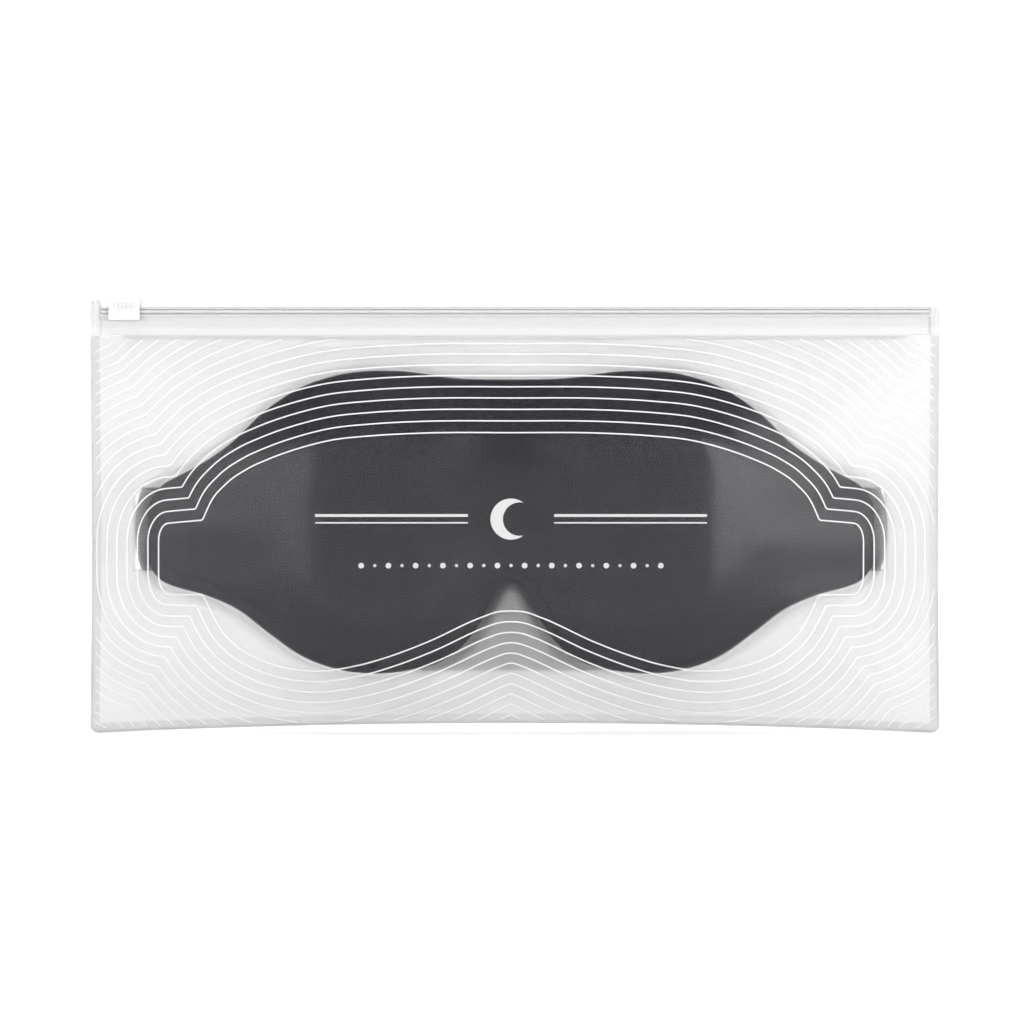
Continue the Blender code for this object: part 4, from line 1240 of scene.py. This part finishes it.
def build_zip_slider(material):
    """The white saddle: a waisted body with a crowned roof and finger ribs on both faces."""
    low, high = saddle_low, saddle_high
    outer, bottom, top = high[1], low[2], high[2]
    waist, wall, lip = outer - 0.6 * MM, 2.0 * MM, 1.05 * MM
    roof = 129.5 * MM
    half = [(outer - 0.15 * MM, bottom), (outer, bottom + 0.2 * MM), (outer, bottom + 2.4 * MM),
            (outer - 0.2 * MM, bottom + 3.1 * MM), (waist, bottom + 3.9 * MM),
            (waist, top - 1.9 * MM), (outer - 0.35 * MM, top - 1.2 * MM),
            (outer - 0.45 * MM, top - 0.5 * MM), (outer - 1.1 * MM, top - 0.1 * MM), (0.8 * MM, top)]
    inner = [(wall, roof), (wall, bottom + 0.5 * MM), (lip, bottom + 0.5 * MM), (lip, bottom)]
    loop = half + [(-y, z) for y, z in reversed(half)]
    loop += [(-y, z) for y, z in reversed(inner)] + inner
    bm = bmesh.new()
    face = bm.faces.new([bm.verts.new((low[0], y, z)) for y, z in loop])
    pushed = bmesh.ops.extrude_face_region(bm, geom=[face])
    moved = [part for part in pushed["geom"] if isinstance(part, bmesh.types.BMVert)]
    bmesh.ops.translate(bm, verts=moved, vec=(high[0] - low[0], 0, 0))
    bmesh.ops.recalc_face_normals(bm, faces=bm.faces)
    ends = [e for e in bm.edges if abs(e.verts[0].co.x - e.verts[1].co.x) < 1e-9]
    bmesh.ops.bevel(bm, geom=ends, offset=0.22 * MM, segments=3, affect="EDGES", profile=0.5)
    parts = [bm]
    middle = (low[0] + high[0]) / 2
    for side in (FRONT, BACK):
        for k in range(-2, 3):
            x = middle + k * 1.25 * MM
            y = sorted((side * (waist - 0.3 * MM), side * (waist + 0.35 * MM)))
            parts.append(rounded_bar((x - 0.3 * MM, y[0], bottom + 3.8 * MM),
                                     (x + 0.3 * MM, y[1], top - 1.6 * MM), 0.12 * MM))
    finish_piece("zip_slider_moulded", united(parts), material, "zip_slider",
                 ["zip_slider"], sharp=30)


# ---- stage

def build_stage():
    """A pale seamless floor under a white studio."""
    bm = bmesh.new()
    bmesh.ops.create_grid(bm, x_segments=8, y_segments=8, size=8.0)
    floor = guide("floor", bm)
    floor.location.z = -0.2 * MM
    look = Look("pale_floor", Roughness=0.9)
    look.colour(look.noise(0.5), 0.3, 0.7, ((0.94, 0.94, 0.94), (0.96, 0.96, 0.96)))
    floor.data.materials.append(look.material)


def area_light(name, place, size, power):
    """A softbox, unseen by the camera, that faces the pouch."""
    light = bpy.data.lights.new(name, "AREA")
    light.shape = "RECTANGLE"
    light.size, light.size_y = size
    light.energy = power
    item = linked(name, light)
    item.location = place
    across, forth, up = np.array(LIGHT_AIM) - np.array(place)
    pitch = math.atan2(up, math.hypot(across, forth))
    item.rotation_euler = (math.pi / 2 + pitch, 0, math.atan2(forth, across) - math.pi / 2)
    item.visible_camera = False


def build_world():
    """A white studio: bright overhead and along the horizon, dimmer in between and to the sides."""
    world = bpy.data.worlds.new("studio")
    bpy.context.scene.world = world
    world.use_nodes = True
    tree = world.node_tree
    place = add_node(tree, "ShaderNodeTexCoord").outputs["Generated"]
    axes = add_node(tree, "ShaderNodeSeparateXYZ", {0: place}).outputs
    ramp = add_node(tree, "ShaderNodeValToRGB", {"Fac": axes["Z"]})
    elements = ramp.color_ramp.elements
    for index, (height, shade) in enumerate(SKY):
        element = elements[index] if index < len(elements) else elements.new(height)
        element.position = height
        element.color = (shade, shade, shade, 1)
    aside = add_node(tree, "ShaderNodeMath", {0: axes["X"]}, operation="ABSOLUTE").outputs[0]
    strength = add_node(tree, "ShaderNodeMapRange", {
        "Value": aside, "From Min": 0.5, "From Max": 0.95,
        "To Min": SKY_STRENGTH[0], "To Max": SKY_STRENGTH[1]})
    background = tree.nodes["Background"]
    tree.links.new(ramp.outputs["Color"], background.inputs["Color"])
    tree.links.new(strength.outputs["Result"], background.inputs["Strength"])


def build_light():
    build_world()
    area_light("left_softbox", (-1.0, -1.15, 0.16), (1.4, 0.7), LEFT_POWER)
    area_light("right_softbox", (0.9, -1.15, 0.26), (1.1, 0.6), RIGHT_POWER)


def build_camera():
    """A long lens, level with the pouch and square to its front."""
    camera = bpy.data.cameras.new("camera")
    camera.lens = 120
    item = linked("camera", camera)
    distance = VIEW_WIDTH * camera.lens / camera.sensor_width
    item.location = (VIEW_CENTRE[0], -distance, VIEW_CENTRE[1])
    item.rotation_euler = (math.pi / 2, 0, 0)
    bpy.context.scene.camera = item
    bpy.context.scene.view_settings.view_transform = "Standard"


# ---- assembly

webbing = webbing_look()
thread = thread_look()
black_plastic = black_plastic_look()
zip_plastic = zip_look()
ink = ink_look("white_ink", 0.62, 0.65)
motif_ink = ink_look("white_motif_ink", 0.48, 0.52)
front_frost = film_look("frosted_film_front", 0.003, 0.12, 0.97)
back_frost = film_look("frosted_film_back", 0.02, 0.92, 0.96)

build_mask(knit_look(), lining_look(), foam_look())
# the sheet of painted shade in the nose notch
build_notch_shade(notch_shade_look())
build_strap("elastic_strap_left", -1, -(RING_X - RING_BAR_OFFSET), LEFT_STRAP_END, webbing, "strap_left")
build_strap("elastic_strap_right", 1, RING_X + RING_BAR_OFFSET, RIGHT_STRAP_END, webbing, "strap_right")
build_ring(black_plastic)
build_strap_slider(black_plastic)
build_stitching(thread)

front_film = Film(FRONT, front_hold, front_gap, 3, -FILM_FRONT)
back_film = Film(BACK, back_hold, back_gap, 8, FILM_BACK)
front_film.build("frosted_front_film", front_frost, "pouch_front_film")
back_film.build("frosted_back_film", back_frost, "pouch_back_film")
build_weld_bead(front_frost)
build_print(front_film, ink)
build_motif(front_film, motif_ink)

build_track(FRONT, "zip_track_front", "zip_half_front", zip_plastic)
build_track(BACK, "zip_track_back", "zip_half_back", zip_plastic)
build_weld_marks(mark_look())
build_zip_slider(slider_look())

build_stage()
build_light()
build_camera()
